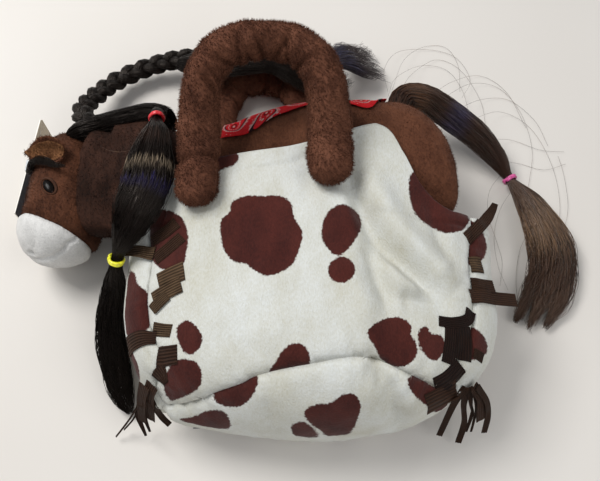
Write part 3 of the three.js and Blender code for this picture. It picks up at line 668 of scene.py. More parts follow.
# %% Folds of the front, drawn in picture pixels
soft_folds = [  # points, half width in pixels, height in millimetres
    ([(348, 170), (366, 217), (386, 246), (414, 270), (452, 306)], 9, -8.5),
    ([(366, 168), (394, 222), (424, 256), (458, 288)], 14, 6.0),
    ([(366, 236), (382, 284), (396, 314)], 8, -6.0),
    ([(343, 254), (360, 296), (372, 326)], 11, 3.6),
    ([(398, 294), (428, 303), (456, 318)], 7, -5.5),
    ([(386, 262), (402, 280), (424, 292)], 8, 3.0),
    ([(431, 196), (440, 236), (452, 262)], 8, -2.6),
    ([(276, 292), (262, 312), (236, 322)], 9, -1.4),
    ([(304, 168), (308, 186), (306, 200)], 6, -1.4),
    ([(370, 345), (383, 376), (393, 404), (402, 434)], 8, -4.5),
    ([(394, 366), (408, 392), (420, 416)], 9, 2.0),
    ([(333, 185), (345, 205), (356, 232)], 7, 1.5),
    ([(212, 205), (196, 240), (176, 268)], 11, 1.6),
    ([(262, 398), (270, 418), (272, 434)], 6, -1.4),
    ([(160, 330), (176, 318), (200, 312)], 8, -1.2),
]


def fold_height(points):
    seen = picture_of(points)
    total = np.zeros(len(points))
    for line, reach, height in soft_folds:
        path = smooth_line(line, 40)
        gaps = norm(seen[:, None] - path[None], axis=2)
        nearest = gaps.argmin(1)
        along = nearest / (len(path) - 1)
        fade = np.clip(np.minimum(along, 1 - along) * 5 + 0.15, 0, 1)
        total += height * fade * bell(gaps.min(1) / reach)
    return total


print(len(soft_folds), "folds")

# %% Build the skin
columns, foot_rows, upper_rows = 300, 30, 62
column_turn = 2 * np.pi * np.arange(columns + 1) / columns
edge_of_column = mouth_y(column_turn)


def bag_skin(u, v):
    turn = 2 * np.pi * u
    edge = np.interp(u * columns, np.arange(columns + 1), edge_of_column)
    rows = v * (foot_rows + upper_rows)
    foot = np.sin(np.pi / 2 * np.clip(1 - rows / foot_rows, 0, 1)) ** (2 / 3)
    y = np.where(rows < foot_rows, shoulder_y - foot * (shoulder_y - foot_y),
                 shoulder_y + (edge - shoulder_y) * np.clip((rows - foot_rows) / upper_rows, 0, 1))
    return bag_point(turn, y)


bag_shell = clean(grid("bag_shell", columns, foot_rows + upper_rows, bag_skin))
print("bag shell has", len(bag_shell.data.vertices), "points")

# %% [markdown]
# ## Marking the five panels
# Front, base, back and two gussets. Each face belongs to the panel that its middle lies in, and
# the points that two panels share are drawn on to the seam between them, so that the seams are
# smooth lines and not steps of the grid.

# %% Panels and seams
seam_reach = 4  # a shared point this near to a seam is drawn on to it


def panel_of(points):
    """Which panel each point of the undisturbed skin is on."""
    x, y, z = points.T
    seam_y = np.interp(x, base_x, base_y)
    back = z < back_seam_rise + lift_at(y)
    low = (np.abs(x) < base_half_width) & (y < seam_y)
    side = np.where(x < 0, "left", "right")
    return np.select([back, low, z < front_seam(x, y)], ["back", "base", side], "front")


skin = points_of(bag_shell)
face_middles = np.array([skin[list(face.vertices)].mean(0) for face in bag_shell.data.polygons])
face_panel = panel_of(face_middles)
panels_at = [set() for _ in skin]
for face, panel in zip(bag_shell.data.polygons, face_panel):
    for corner in face.vertices:
        panels_at[corner].add(panel)
shared = np.array([len(found) > 1 for found in panels_at])
all_seams = np.vstack([smooth_line(line[::3], 1200) for line in seam_lines.values()])
for corner in np.nonzero(shared)[0]:
    gaps = norm(all_seams - skin[corner], axis=1)
    if gaps.min() < seam_reach:
        skin[corner] = all_seams[gaps.argmin()]
place_points(bag_shell, skin)
print("faces of each panel:",
      {str(panel): int((face_panel == panel).sum()) for panel in np.unique(face_panel)})

# %% [markdown]
# ## Filling it out
# The skin now moves along its own normals: soft lumps of stuffing, the long folds, the puckers
# beside each seam, the groove of the seam itself, and the doubled hem along the mouth. Its lower
# left corner is a little fuller.

# %% Move the skin
HEM = 8  # depth of the turned-in edge
outward = normals_of(bag_shell)
upper_side = outward[:, 2] > 0
move = 0.9 * lumps(skin, 38, 1) + 0.35 * lumps(skin, 13, 2)
move += np.where(upper_side, fold_height(skin), 0)
seam_gap = np.full(len(skin), 99.0)
for number, line in enumerate(seam_lines.values()):
    gap, run = seam_distance(skin, line)
    seam_gap = np.minimum(seam_gap, gap)
    pucker = np.sin(2 * np.pi * run / 11 + 1.7 * np.sin(run / 23 + number))
    move += 0.75 * pucker * np.exp(-gap / 9) * np.clip(gap / 3, 0, 1)
move -= 1.9 * bell(seam_gap / 2.2) + 2.0 * np.exp(-seam_gap / 16)
from_edge = np.interp(np.arctan2(skin[:, 2] - 50, skin[:, 0]) % (2 * np.pi),
                      column_turn, edge_of_column) - skin[:, 1]
move += 0.5 * ease(HEM + 1.5, HEM - 1.5, from_edge) - 0.9 * bell((from_edge - HEM) / 1.3)
full_corner = (np.exp(-(((skin[:, 0] + 84) / 24) ** 2 + ((skin[:, 1] + 72) / 20) ** 2))
               * ease(64, 40, skin[:, 2]))
resting = ease(4, 12, skin[:, 2])
move *= np.where(skin[:, 1] < lift_end, resting, 1)
skin = skin + outward * move[:, None] + full_corner[:, None] * [-3.0, -5.0, 0.0]
place_points(bag_shell, skin)
print("skin moves by", round(float(move.min()), 1), "to", round(float(move.max()), 1), "mm")

# %% [markdown]
# ## Dyeing the cow print
# Each patch is an outline of a few points in the picture, closed by a smooth curve. A point of the
# skin is inside or outside of it, by so many millimetres, and that number is what the shader
# reads. Where the camera never looks, on the back and the far sides, round patches in the same
# sizes carry the print on. A patch that stops at a seam is kept off the next panel, and one that
# runs round the foot ends in a curve where the skin turns away.

# %% Patch outlines
PICTURE_MM = 0.66  # millimetres to a pixel on the front of the bag
front_patches = [
    [(245, 196), (262, 196), (280, 196), (291, 203), (294, 217), (302, 231), (301, 243), (294, 262),
     (283, 271), (268, 276), (257, 272), (246, 264), (235, 262), (225, 252), (221, 238), (221, 221),
     (230, 211), (232, 202)],
    [(330, 210), (341, 204), (352, 208), (360, 217), (361, 228), (355, 240), (346, 251), (337, 256),
     (328, 249), (322, 238), (323, 222)],
    [(342, 257), (352, 261), (355, 270), (351, 279), (341, 283), (331, 279), (328, 269), (332, 261)],
    [(409, 178), (420, 172), (436, 190), (452, 206), (469, 217), (464, 229), (450, 233), (439, 231),
     (423, 222), (412, 207)],
    [(214, 150), (232, 149), (239, 157), (235, 164), (226, 168), (214, 170)],
    [(150, 212), (165, 210), (175, 213), (184, 221), (188, 237), (186, 254), (183, 264), (172, 270),
     (160, 268), (150, 256), (146, 236)],
    [(188, 320), (196, 326), (203, 337), (200, 347), (191, 355), (184, 352), (178, 341), (176, 331),
     (180, 323)],
    [(175, 361), (187, 359), (197, 363), (202, 374), (200, 386), (192, 393), (181, 398), (171, 401),
     (166, 396), (164, 384), (167, 372)],
    [(265, 382), (276, 361), (286, 347), (298, 343), (308, 350), (310, 366), (306, 380), (285, 390)],
    [(367, 332), (380, 321), (397, 317), (411, 324), (411, 336), (418, 347), (413, 361), (399, 367),
     (383, 361), (375, 347)],
    [(418, 331), (426, 326), (431, 334), (441, 335), (445, 346), (438, 360), (428, 358), (420, 346)],
]
base_patches = [
    [(209, 399), (222, 384), (240, 378), (258, 376), (254, 393), (243, 405), (229, 407), (217, 403)],
    [(179, 419), (192, 417), (207, 411), (223, 411), (231, 423), (228, 432), (221, 438), (207, 433),
     (190, 425)],
    [(330, 403), (342, 395), (354, 394), (361, 405), (357, 421), (353, 431), (351, 441), (330, 442),
     (321, 432), (308, 421), (304, 412), (314, 405)],
    [(293, 424), (304, 422), (318, 432), (324, 442), (309, 443), (296, 438), (291, 431)],
    [(407, 380), (420, 374), (432, 386), (452, 390), (455, 411), (441, 418), (431, 409), (415, 396)],
]
side_patches = [
    [(124, 271), (134, 272), (138, 284), (148, 293), (152, 306), (155, 318), (144, 333), (133, 339),
     (122, 338), (118, 300)],
]
far_side_patches = [
    [(464, 222), (474, 222), (483, 232), (487, 246), (484, 258), (474, 264), (464, 260)],
    [(462, 332), (472, 327), (483, 335), (488, 347), (484, 357), (474, 360), (462, 356)],
]
hidden_patches = [  # centre and radius of round patches, in millimetres
    ((117, 8, 24), 15), ((112, -38, 30), 12), ((-116, -8, 20), 13),
    ((-108, -48, 48), 11), ((-60, -40, 0), 17), ((-18, 4, 2), 13), ((35, -30, 0), 20),
    ((70, 20, 8), 12), ((-75, 40, 14), 12), ((28, 66, 16), 15), ((-45, -84, 20), 12),
    ((20, -80, 10), 9), ((62, -72, 22), 13), ((10, 104, 18), 9), ((-52, 92, 18), 8),
]
print(len(front_patches) + len(base_patches), "patches on the front and the base")

# %% Inside or outside an outline


def inside_outline(seen, outline):
    """How far points lie inside a closed smooth outline, in picture pixels. Outside is negative."""
    loop = [*outline[-2:], *outline, *outline[:2]]
    path = smooth_line(loop, 10 * (len(loop) - 1) + 1)[20:-11]
    edge = np.roll(path, -1, axis=0) - path
    away = seen[:, None] - path[None]
    share = np.clip((away * edge).sum(2) / np.maximum((edge**2).sum(1), 1e-9), 0, 1)
    gap = norm(away - share[..., None] * edge, axis=2).min(1)
    crosses = (path[:, 1] > seen[:, None, 1]) != (np.roll(path[:, 1], -1) > seen[:, None, 1])
    rise = np.where(np.abs(edge[:, 1]) < 1e-9, 1e-9, edge[:, 1])
    at_x = path[:, 0] + (seen[:, None, 1] - path[:, 1]) / rise * edge[:, 0]
    odd = (crosses & (seen[:, None, 0] < at_x)).sum(1) % 2 == 1
    return np.where(odd, gap, -gap)


print("middle of the big patch lies", inside_outline(np.array([[260.0, 235.0]]), front_patches[0]).round(),
      "pixels inside")

# %% Dye depth of every point
FACING = 0.2  # a drawn patch ends where the skin faces the camera less than this
FADE = 30  # millimetres of depth to a whole step of facing


def both(depth, limit, softness=2.5):
    """The lesser of two depths, rounded where they cross, so a patch ends in a curve."""
    return -softness * np.logaddexp(-depth / softness, -limit / softness)


def print_depth(points, panel, toward):
    """Millimetres inside the nearest patch, from -6 to 6, for points of one panel.

    Toward is 1 where the skin faces the camera and less than 0 where it faces away.
    """
    depth, facing = np.full(len(points), -6.0), toward > 0
    seen = picture_of(points)
    drawn = {"front": front_patches, "base": base_patches, "left": side_patches,
             "right": far_side_patches}.get(panel, [])
    for outline in drawn:
        near = facing & (np.abs(seen - np.mean(outline, axis=0)).max(1) < 75)
        inside = inside_outline(seen[near], outline) * PICTURE_MM
        if panel != "front":
            inside = both(inside, FADE * (toward[near] - FACING))
        depth[near] = np.maximum(depth[near], inside)
    if panel != "front":
        unseen = ~facing if panel == "base" else np.ones(len(points), bool)
        for centre, radius in hidden_patches:
            wobble = 1.6 * lumps(points[unseen] - centre, 14, int(radius))
            round_depth = radius + wobble - norm(points[unseen] - centre, axis=1)
            if panel == "base":
                round_depth = both(round_depth, -FADE * (toward[unseen] + 0.05))
            depth[unseen] = np.maximum(depth[unseen], round_depth)
    return np.clip(depth, -6, 6)


sight = np.array(camera_place) / MM - skin
sight /= norm(sight, axis=1, keepdims=True)
toward_camera = (sight * normals_of(bag_shell)).sum(1)
print("the camera sees", round((toward_camera > 0).mean() * 100), "% of the skin")

# %% [markdown]
# ## Cutting the panels out
# Each panel is a copy of the skin with the other faces deleted, dyed by its own patches, and
# given the thickness of plush with a thin wadding behind it. The wall grows inwards.

# %% Five panels
panel_nodes = {"front": "front_panel", "base": "base_panel", "back": "back_panel",
               "left": "left_gusset", "right": "right_gusset"}


def copy_of(piece, name):
    """A copy with its own mesh, shown and picked."""
    pick(piece)
    bpy.ops.object.duplicate()
    made = bpy.context.object
    made.name = made.data.name = name
    return made


def keep_faces(piece, keep):
    """Delete every face that isn't in this list of booleans."""
    pick(piece)
    mode("EDIT")
    bpy.ops.mesh.select_mode(type="FACE")
    bpy.ops.mesh.select_all(action="DESELECT")
    mode("OBJECT")
    piece.data.polygons.foreach_set("select", ~keep)
    mode("EDIT")
    bpy.ops.mesh.delete(type="FACE")
    mode("OBJECT")


def dress(piece, material, body, slot, *nodes):
    """The finish, the body it moves with and the solids it stands for. The slot is not used."""
    piece.data.materials.clear()
    piece.data.materials.append(material)
    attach(piece, body)
    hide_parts(*nodes)


for panel, node_name in panel_nodes.items():
    piece = copy_of(bag_shell, node_name + "_plush")
    dye = piece.data.attributes.new("print", "FLOAT", "POINT")
    depth = print_depth(skin, panel, toward_camera)
    dye.data.foreach_set("value", depth.astype(np.float32))
    keep_faces(piece, face_panel == panel)
    finish_with(piece, "SOLIDIFY", thickness=skin_wall * MM, offset=-1)
    dress(piece, cow_plush, "bag", "white_plush", node_name)
    print(piece.name, len(piece.data.polygons), "faces")

# %% [markdown]
# ## The satin lining
# It is the same pouch once more, smaller by the wall, cut from thin dark satin, so it follows
# every fold of the skin from inside and shows at the mouth.

# %% Lining
lining_gap, lining_wall = 0.5, 0.5
lining = copy_of(bag_shell, "lining_satin")
inner = skin - normals_of(bag_shell) * (skin_wall + lining_gap)
inner[:, 1] -= 1.2 * ease(0, 40, skin[:, 1])  # below the hem
inner -= normals_of(bag_shell) * (2.6 * ease(-40, -60, skin[:, 1]))[:, None]  # looser at the foot
place_points(lining, inner)
finish_with(lining, "SOLIDIFY", thickness=lining_wall * MM, offset=-1)
print("lining", size_of(lining))


def make_satin():
    """Dark satin, a fine twill that catches the light along one way. Its lighter blue clouds are painted
    glints.
    """
    material, tree, shader, at = start_material(
        "satin", Specular_IOR_Level=0.6, Anisotropic=0.5, Sheen_Weight=0.1)
    twill = node(tree, "TexWave", {"Vector": at, "Scale": 900.0, "Distortion": 1.5},
                 bands_direction="DIAGONAL").outputs["Fac"]
    # Where this cloud is light, the blue is painted glint on the dark satin.
    glint_cloud = noise_of(tree, at, 60, 3.0)
    base = mixed(tree, glint_cloud, rgb(12, 14, 24), rgb(40, 46, 74))
    feed(tree, shader, base, ranged(tree, twill, 0, 1, 0.28, 0.42), twill, 0.00006)
    return material


satin = make_satin()
dress(lining, satin, "bag", "satin", "lining")
pick(bag_shell)
bpy.ops.object.delete()

# %% [markdown]
# ## The two handles
# A handle is one tube of short brown plush, stuffed firmly, with its ends sewn flat on a panel. A
# grid rolled up along the handle's centre line makes it. The inner side of the arch is crushed
# into wrinkles, since there the plush has less way to go than the wadding.

# %% Tubes along a line


def frames_along(path, up=(0.0, 0.0, 1.0)):
    """The direction, the side and the upward vector at each point of a path."""
    ahead = unit(np.gradient(path, axis=0))
    side = unit(np.cross(ahead, np.asarray(up, float)))
    return ahead, side, np.cross(side, ahead)


def rounded_ends(path, reach):
    """The share of a tube's size along it, drawn to nothing over this reach at both ends."""
    run = run_of(path)
    near = np.clip(np.minimum(run, run[-1] - run) / reach, 0, 1)
    return np.sqrt(np.maximum(1 - (1 - near) ** 2, 0))


def tube(name, path, half_width, half_height, rows=48, bulge=None, up=(0.0, 0.0, 1.0)):
    """A closed tube along a path in millimetres. Bulge adds to its size by run and turn."""
    _, side, rise = frames_along(path, up)
    marks = np.linspace(0, 1, len(path))
    run = run_of(path)

    def at(u, v):
        def read(values):
            return np.interp(u, marks, np.broadcast_to(values, len(path)))
        turn = 2 * np.pi * v
        middle, across, upward = [np.stack([read(line[:, k]) for k in range(3)], -1)
                                  for line in (path, side, rise)]
        extra = bulge(read(run), turn) if bulge else 0
        grown = read(half_width) / max(np.max(half_width), 1e-9)
        wide = (read(half_width) + extra * grown) * np.cos(turn)
        tall = (read(half_height) + extra * grown) * np.sin(turn)
        return middle + across * wide[:, None] + upward * tall[:, None]

    return clean(grid(name, len(path) - 1, rows, at))


def bumped(piece, move):
    """Move the points along their normals by so many millimetres."""
    place_points(piece, points_of(piece) + normals_of(piece) * np.asarray(move)[:, None])
    return piece


# %% [markdown]
# ## Pile
# Plush looks soft since its outline is fuzzy. Thousands of thin spikes stand on the finished form,
# each a closed three-sided cone that leans its own way, and are joined to the piece.

# %% Spikes of pile
THIRDS = (0, 2 * math.pi / 3, 4 * math.pi / 3)


def add_pile(piece, count, length, seed, thickness=0.26, lean=(0.1, -0.3, 0.0), spread=0.45):
    """Join this many spikes to a piece, spread evenly over its area. Sizes are in millimetres."""
    turns = np.random.default_rng(seed)
    piece.data.calc_loop_triangles()
    corners = np.array([triangle.vertices[:] for triangle in piece.data.loop_triangles])
    points, outward = points_of(piece)[corners], normals_of(piece)[corners]
    area = norm(np.cross(points[:, 1] - points[:, 0], points[:, 2] - points[:, 0]), axis=1)
    chosen = turns.choice(len(corners), count, p=area / area.sum())
    a, b = np.sqrt(turns.uniform(0, 1, count)), turns.uniform(0, 1, count)
    weights = np.stack([1 - a, a * (1 - b), a * b], 1)[..., None]
    foot, out = (points[chosen] * weights).sum(1), (outward[chosen] * weights).sum(1)
    out = unit(out)
    way = unit(out + spread * turns.normal(size=(count, 3)) + np.array(lean))
    tip = foot + out * 0.2 + way * (length * turns.uniform(0.55, 1, count))[:, None]
    side = unit(np.cross(out, turns.normal(size=(count, 3))))
    rise = np.cross(out, side)
    rings = [foot - out * 0.3 + thickness * (side * math.cos(turn) + rise * math.sin(turn))
             for turn in THIRDS]
    spikes = np.stack([*rings, tip], 1).reshape(-1, 3)
    first = 4 * np.arange(count)[:, None]
    sides = ((0, 1, 3), (1, 2, 3), (2, 0, 3), (0, 2, 1))
    faces = np.concatenate([first + np.array(side) for side in sides])
    made = mesh_piece(piece.name + "_pile", spikes, faces.tolist())
    for material in piece.data.materials:
        made.data.materials.append(material)
    return joined([made, piece], into=piece)


# %% Where the handles run, from the frame
handle_sizes = {  # half width, tab length, spring of the arch, in millimetres
    "front": (13.5, 26, 96), "back": (14.5, 22, 140),
}
SMOOTHINGS = 220


def handle_line(name, seat, top_z, rise_of_arch=0, square=0.8, steps=280):
    """The centre line of a handle: up one leg, round the arch and down the other."""
    half_width, tab_length, spring_y = handle_sizes[name]
    arch_high = box_mm(name + "_handle")[1]
    ends = []
    for side in ("_tab_left", "_tab_right"):
        low, high = box_mm(name + side)
        ends.append(((low.x + high.x) / 2, low.y))
    (left_x, left_y), (right_x, right_y) = ends
    middle_x, half_span = (left_x + right_x) / 2, (right_x - left_x) / 2
    top_y = arch_high.y - half_width + rise_of_arch
    line = []
    for turn in np.linspace(np.pi, 0, 60):
        bend_x, bend_y = abs(math.cos(turn)) ** square, abs(math.sin(turn)) ** square
        line.append([middle_x + half_span * math.copysign(bend_x, math.cos(turn)),
                     spring_y + (top_y - spring_y) * bend_y])
    left_leg = [[left_x, y] for y in np.linspace(left_y, spring_y, 30, endpoint=False)]
    right_leg = [[right_x, y] for y in np.linspace(spring_y, right_y, 31)[1:]]
    plan = np.array(left_leg + line + right_leg)
    leg_y = np.where(plan[:, 0] < middle_x, left_y, right_y)
    low_z = np.array([seat(x, y) for x, y in plan])
    z = low_z + (top_z - low_z) * ease(0, 1, (plan[:, 1] - leg_y - tab_length)
                                       / (top_y - leg_y - tab_length))
    line, _ = evenly(np.column_stack([plan, z]), steps)
    for _ in range(SMOOTHINGS):
        line[1:-1] = (line[:-2] + 2 * line[1:-1] + line[2:]) / 4
    return line


print("handle arches spring from y", [size[2] for size in handle_sizes.values()])

# %% Wrinkles of a handle


def handle_bulge(line, wrinkles, seed, rings=(1.4, 0.5)):
    """Wrinkles on the inner side, a crease where each tab is sewn and a seam along the inside."""
    run = run_of(line)

    def bulge(at_run, turn):
        inner = np.clip(np.cos(turn) * 0.75 + 0.25, 0, 1)
        total = 0.5 * np.sin(at_run / 9 + seed) * np.sin(turn * 2 + seed)
        for place, lean, depth in wrinkles:
            where = place * run[-1] + lean * np.sin(turn) * 6
            total -= depth * inner**0.7 * bell((at_run - where) / 2.3)
            total += depth * 0.35 * inner * bell((at_run - where - 6) / 4)
        for crease, deep in zip((0.12, 0.88), rings):
            total -= deep * bell((at_run - crease * run[-1] - 2 * np.cos(turn)) / 2.6)
        wrapped = np.minimum(turn, 2 * np.pi - turn)
        return total - 0.9 * bell(wrapped / 0.09)
    return bulge


def bump_handle(piece, coarse, fine, fine_height):
    """Soft dents of two sizes, from these two seeds."""
    points = points_of(piece)
    return bumped(piece, 0.5 * lumps(points, 11, coarse) + fine_height * lumps(points, 5, fine))


# %% Front handle
front_half_height = 13
front_wrinkles = [  # place along the tube, lean and depth
    (0.28, 2.2, 2.8), (0.325, 1.5, 2.4), (0.36, 1, 1.6), (0.405, -1, 2.8), (0.445, 0.6, 2.4),
    (0.475, -0.4, 2.0), (0.52, -0.5, 2.8), (0.57, 1, 2.0), (0.61, -0.8, 2.8), (0.66, 0.4, 1.6),
]
front_line = handle_line("front", lambda x, y: top_of_skin(x, min(y, 100)) + 9.5, 126, 3.5, 0.86)
front_run = run_of(front_line)
front_share = front_run / front_run[-1]
in_arch = ease(0.16, 0.34, front_share) * ease(0.84, 0.66, front_share)
front_half_width = 12.6 + 0.6 * ease(0.6, 0.8, front_share) - 1.4 * in_arch
from_end = np.minimum(front_run, run_of(front_line[::-1])[::-1])
tab_flatness = 0.72 + 0.28 * ease(0, 34, from_end)
front_ends = rounded_ends(front_line, 12)
front_tube = tube(
    "front_handle_plush", front_line, front_half_width * front_ends,
    front_half_height * 0.93 * front_ends * tab_flatness, 60,
    handle_bulge(front_line, front_wrinkles, 2, (2.6, 1.0)))
bump_handle(front_tube, 5, 6, 0.25)
add_pile(front_tube, count=24000, length=2.2, seed=71, thickness=0.24)
print("front handle is", round(front_run[-1]), "mm long")

# %% Finish of a handle


def across_crease(left, right, reach):
    """Two points either side of a crease, square to it, in metres."""
    run = (right - left) / norm(right - left)
    normal = np.array([-run[1], run[0]])
    middle = (left + right) / 2
    return [(*((middle + normal * step) * MM), 0.0) for step in (-reach, reach)]


def dress_handle(piece, name, left, right):
    piece.data.materials.clear()
    piece.data.materials.append(brown_plush)
    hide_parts(name + "_handle", name + "_tab_left", name + "_tab_right")
    start, end = across_crease(left, right, 7)
    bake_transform(piece)
    print(piece.name, len(piece.data.vertices), "points")


dress_handle(front_tube, "front", left=np.array([-68, 62]), right=np.array([12, 74]))

# %% Back handle
back_half_height, back_tab_half_height = 10.4, 8
back_wrinkles = [(0.34, 1, 1.8), (0.42, -1, 2.2), (0.5, 0.6, 2.0), (0.58, -0.5, 2.4), (0.65, 1, 1.6)]
back_line = handle_line("back", lambda x, y: back_tab_half_height + 0.3, back_half_height + 0.4, 0, 0.72)
back_line[:, 0] -= 5 * ease(100, 150, back_line[:, 1])
back_ends = rounded_ends(back_line, 12)
back_height = back_tab_half_height + (back_half_height - back_tab_half_height) * ease(
    112, 150, back_line[:, 1])
back_tube = tube(
    "back_handle_plush", back_line, 13.6 * back_ends, back_height * 0.93 * back_ends, 60,
    handle_bulge(back_line, back_wrinkles, 4))
bump_handle(back_tube, 7, 8, 0.2)
add_pile(back_tube, count=14000, length=2.1, seed=72, thickness=0.24)
dress_handle(back_tube, "back", left=np.array([-65, 100]), right=np.array([5, 100]))

# %% [markdown]
# ## Stuffed forms
# The body, neck, head, legs and muzzle are bags of plush blown tight by their stuffing. The frame
# holds each as a plain solid. A copy of that solid is remeshed into even cells, smoothed, and then
# blown up by a cloth simulation, as a pump would, which gives it its own soft dents. How far a
# point may move is capped, so that it stays in the space of its solid.

# %% Copies of the frame's solids


def solid_copy(name, *node_names):
    """The frame's solids as one new mesh, with its loose triangles merged."""
    made = []
    for node_name in node_names:
        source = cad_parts[node_name]
        piece = bpy.data.objects.new(name, source.data.copy())
        piece.data.transform(source.matrix_world)
        bpy.context.collection.objects.link(piece)
        made.append(piece)
    if len(made) > 1:
        joined(made, into=made[0])
    made[0].name = made[0].data.name = name
    return clean(made[0], 0.01)


print("the frame has", len(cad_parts), "nodes")

# %% Blowing a form up


def plump(piece, pressure=4.0, cap=4.0, frames=16):
    """Blow a closed piece up with a cloth simulation, and keep each point within the cap."""
    pick(piece)
    before = points_of(piece)
    cloth = piece.modifiers.new("Cloth", "CLOTH")
    cloth.settings.use_pressure = True
    cloth.settings.uniform_pressure_force = pressure
    cloth.settings.effector_weights.gravity = 0
    cloth.settings.quality = 5
    cloth.point_cache.frame_start, cloth.point_cache.frame_end = 1, frames
    for number in range(1, frames + 1):
        bpy.context.scene.frame_set(number)
    blown = piece.evaluated_get(bpy.context.evaluated_depsgraph_get()).to_mesh()
    after = read_mesh(blown, "co") / MM
    piece.modifiers.remove(cloth)
    bpy.context.scene.frame_set(1)
    step = after - before
    length = norm(step, axis=1, keepdims=True)
    place_points(piece, before + step * np.minimum(1, cap / np.maximum(length, 1e-9)))
    return piece


# %% A stuffed form


def stuffed(name, node_names, voxel, shrink, rounds, cap, fine=1):
    """A soft form on these solids: remeshed, smoothed, shrunk a little, blown up and subdivided."""
    piece = solid_copy(name, *node_names)
    finish_with(piece, "REMESH", mode="VOXEL", voxel_size=voxel * MM)
    finish_with(piece, "SMOOTH", factor=0.6, iterations=rounds)
    bumped(piece, np.full(len(piece.data.vertices), -shrink))
    plump(piece, cap=cap)
    if fine:
        finish_with(piece, "SUBSURF", levels=fine)
    return smooth_shaded(piece)


def seen_groove(points, line, width, depth, near):
    """How far points sink along a line drawn in the picture. Near is 0 where they stay."""
    path = smooth_line(line, 60)
    gaps = norm(picture_of(points)[:, None] - path[None], axis=2).min(1)
    return -depth * bell(gaps / width) * near


def keep_above(piece, floor=0.3):
    points = points_of(piece)
    points[:, 2] = np.maximum(points[:, 2], floor)
    place_points(piece, points)


# %% Torso
torso = stuffed("torso_plush", ["torso"], voxel=4, shrink=2.5, rounds=14, cap=3.5)
points = points_of(torso)
bumped(torso, 1.0 * lumps(points, 30, 21) + 0.45 * lumps(points, 12, 22))
dress(torso, horse_plush, "horse", "brown_plush", "torso")
print("torso", len(torso.data.vertices), "points")

# %% Neck
neck = stuffed("shaded_neck_plush", ["neck"], voxel=3.2, shrink=0.8, rounds=3, cap=2.0)
points = points_of(neck)
bumped(neck, 0.8 * lumps(points, 24, 23) + 0.4 * lumps(points, 10, 24))
points = points_of(neck)
x, y, z = points.T
crest = ease(-164, -152, x) * ease(-96, -112, x)
y += (4 + 5 * bell((x + 148) / 13)) * crest * ease(86, 116, y)  # the crest under the mane
y += 6 * bell((x + 154) / 9) * ease(92, 112, y)
near_head = ease(-106, -130, x)
z -= 11 * near_head * ease(50, 72, z) * ease(122, 96, y)  # slimmer behind the cheek
place_points(neck, points)
dress(neck, shaded_neck_plush, "horse", "brown_plush", "neck")
print("neck", len(neck.data.vertices), "points")

# %% Head, with its mouth line and nostril
head_form = stuffed("head_plush", ["head", "muzzle"], voxel=3, shrink=1.2, rounds=8, cap=2.0)
seam_nose, seam_jaw = Vector((-230, 69.2, 0)) * MM, Vector((-110, 22.2, 0)) * MM
seam_run = (seam_jaw - seam_nose).normalized()
seam_normal = Vector((-seam_run.y, seam_run.x, 0))
points = points_of(head_form)
x, y, z = points.T
from_middle = x + 172
wider = np.where(from_middle > 0, 0.24 * ease(18, 34, y), -0.04 - 0.12 * ease(48, 66, y))
x += wider * from_middle * ease(118, 92, y)
place_points(head_form, points)
from_seam = (points * MM - np.array(seam_nose)) @ np.array(seam_normal) / MM
move = 0.7 * lumps(points, 22, 31) + 0.3 * lumps(points, 9, 32)
move -= 2.2 * bell(from_seam / 2)
move += 0.8 * bell((from_seam + 9) / 7)
face_grooves = [  # picture points, width in pixels, depth in millimetres: mouth, fold, nostril
    ([[15, 249], [26, 258], [42, 259.5], [56, 255], [64, 249], [68, 243], [76, 240]], 1.7, 2.4),
    ([[37, 224], [36, 236], [34, 247]], 1.1, 0.6),
    ([[29.5, 252.5], [32.5, 254.5]], 1.5, 2.6),
]
for line, width, depth in face_grooves:
    move += seen_groove(points, line, width, depth, ease(30, 44, z))
bumped(head_form, move)
print("head", size_of(head_form))

# %% Face and muzzle
half_seam = 0.15


def half_of(piece, name, keep_upper):
    """The part of a closed piece on one side of the muzzle seam, closed again."""
    made = copy_of(piece, name)
    mode("EDIT")
    bpy.ops.mesh.select_all(action="SELECT")
    gap = seam_normal * (half_seam * MM if keep_upper else -half_seam * MM)
    bpy.ops.mesh.bisect(plane_co=seam_nose + gap, plane_no=seam_normal, use_fill=True,
                        clear_inner=keep_upper, clear_outer=not keep_upper)
    mode("OBJECT")
    return made


muzzle = half_of(head_form, "muzzle_plush", False)
head = half_of(head_form, "face_plush", True)
pick(head_form)
bpy.ops.object.delete()
dress(head, face_plush, "horse", "brown_plush", "head")
dress(muzzle, muzzle_plush, "horse", "muzzle_plush", "muzzle")
print("face", len(head.data.vertices), "and muzzle", len(muzzle.data.vertices), "points")

# %% Legs, inside the pouch
for leg_name in ("near_fore_leg", "far_fore_leg", "near_hind_leg", "far_hind_leg"):
    leg = stuffed(leg_name + "_plush", [leg_name], voxel=3, shrink=1.0, rounds=4, cap=1.0, fine=0)
    bumped(leg, 0.6 * lumps(points_of(leg), 14, 41))
    dress(leg, horse_plush, "horse", "brown_plush", leg_name)
    print(leg.name, len(leg.data.vertices), "points")

# %% [markdown]
# ## Hair
# The mane and the tail are nylon doll hair: hundreds of thin strands with a hard gloss. A lock is
# modelled as a dark core that closes the view, with real strands laid over it. Each strand keeps
# its own place in the lock, drifts a little, and ends at its own length, so the lock frays.

# %% Hair material


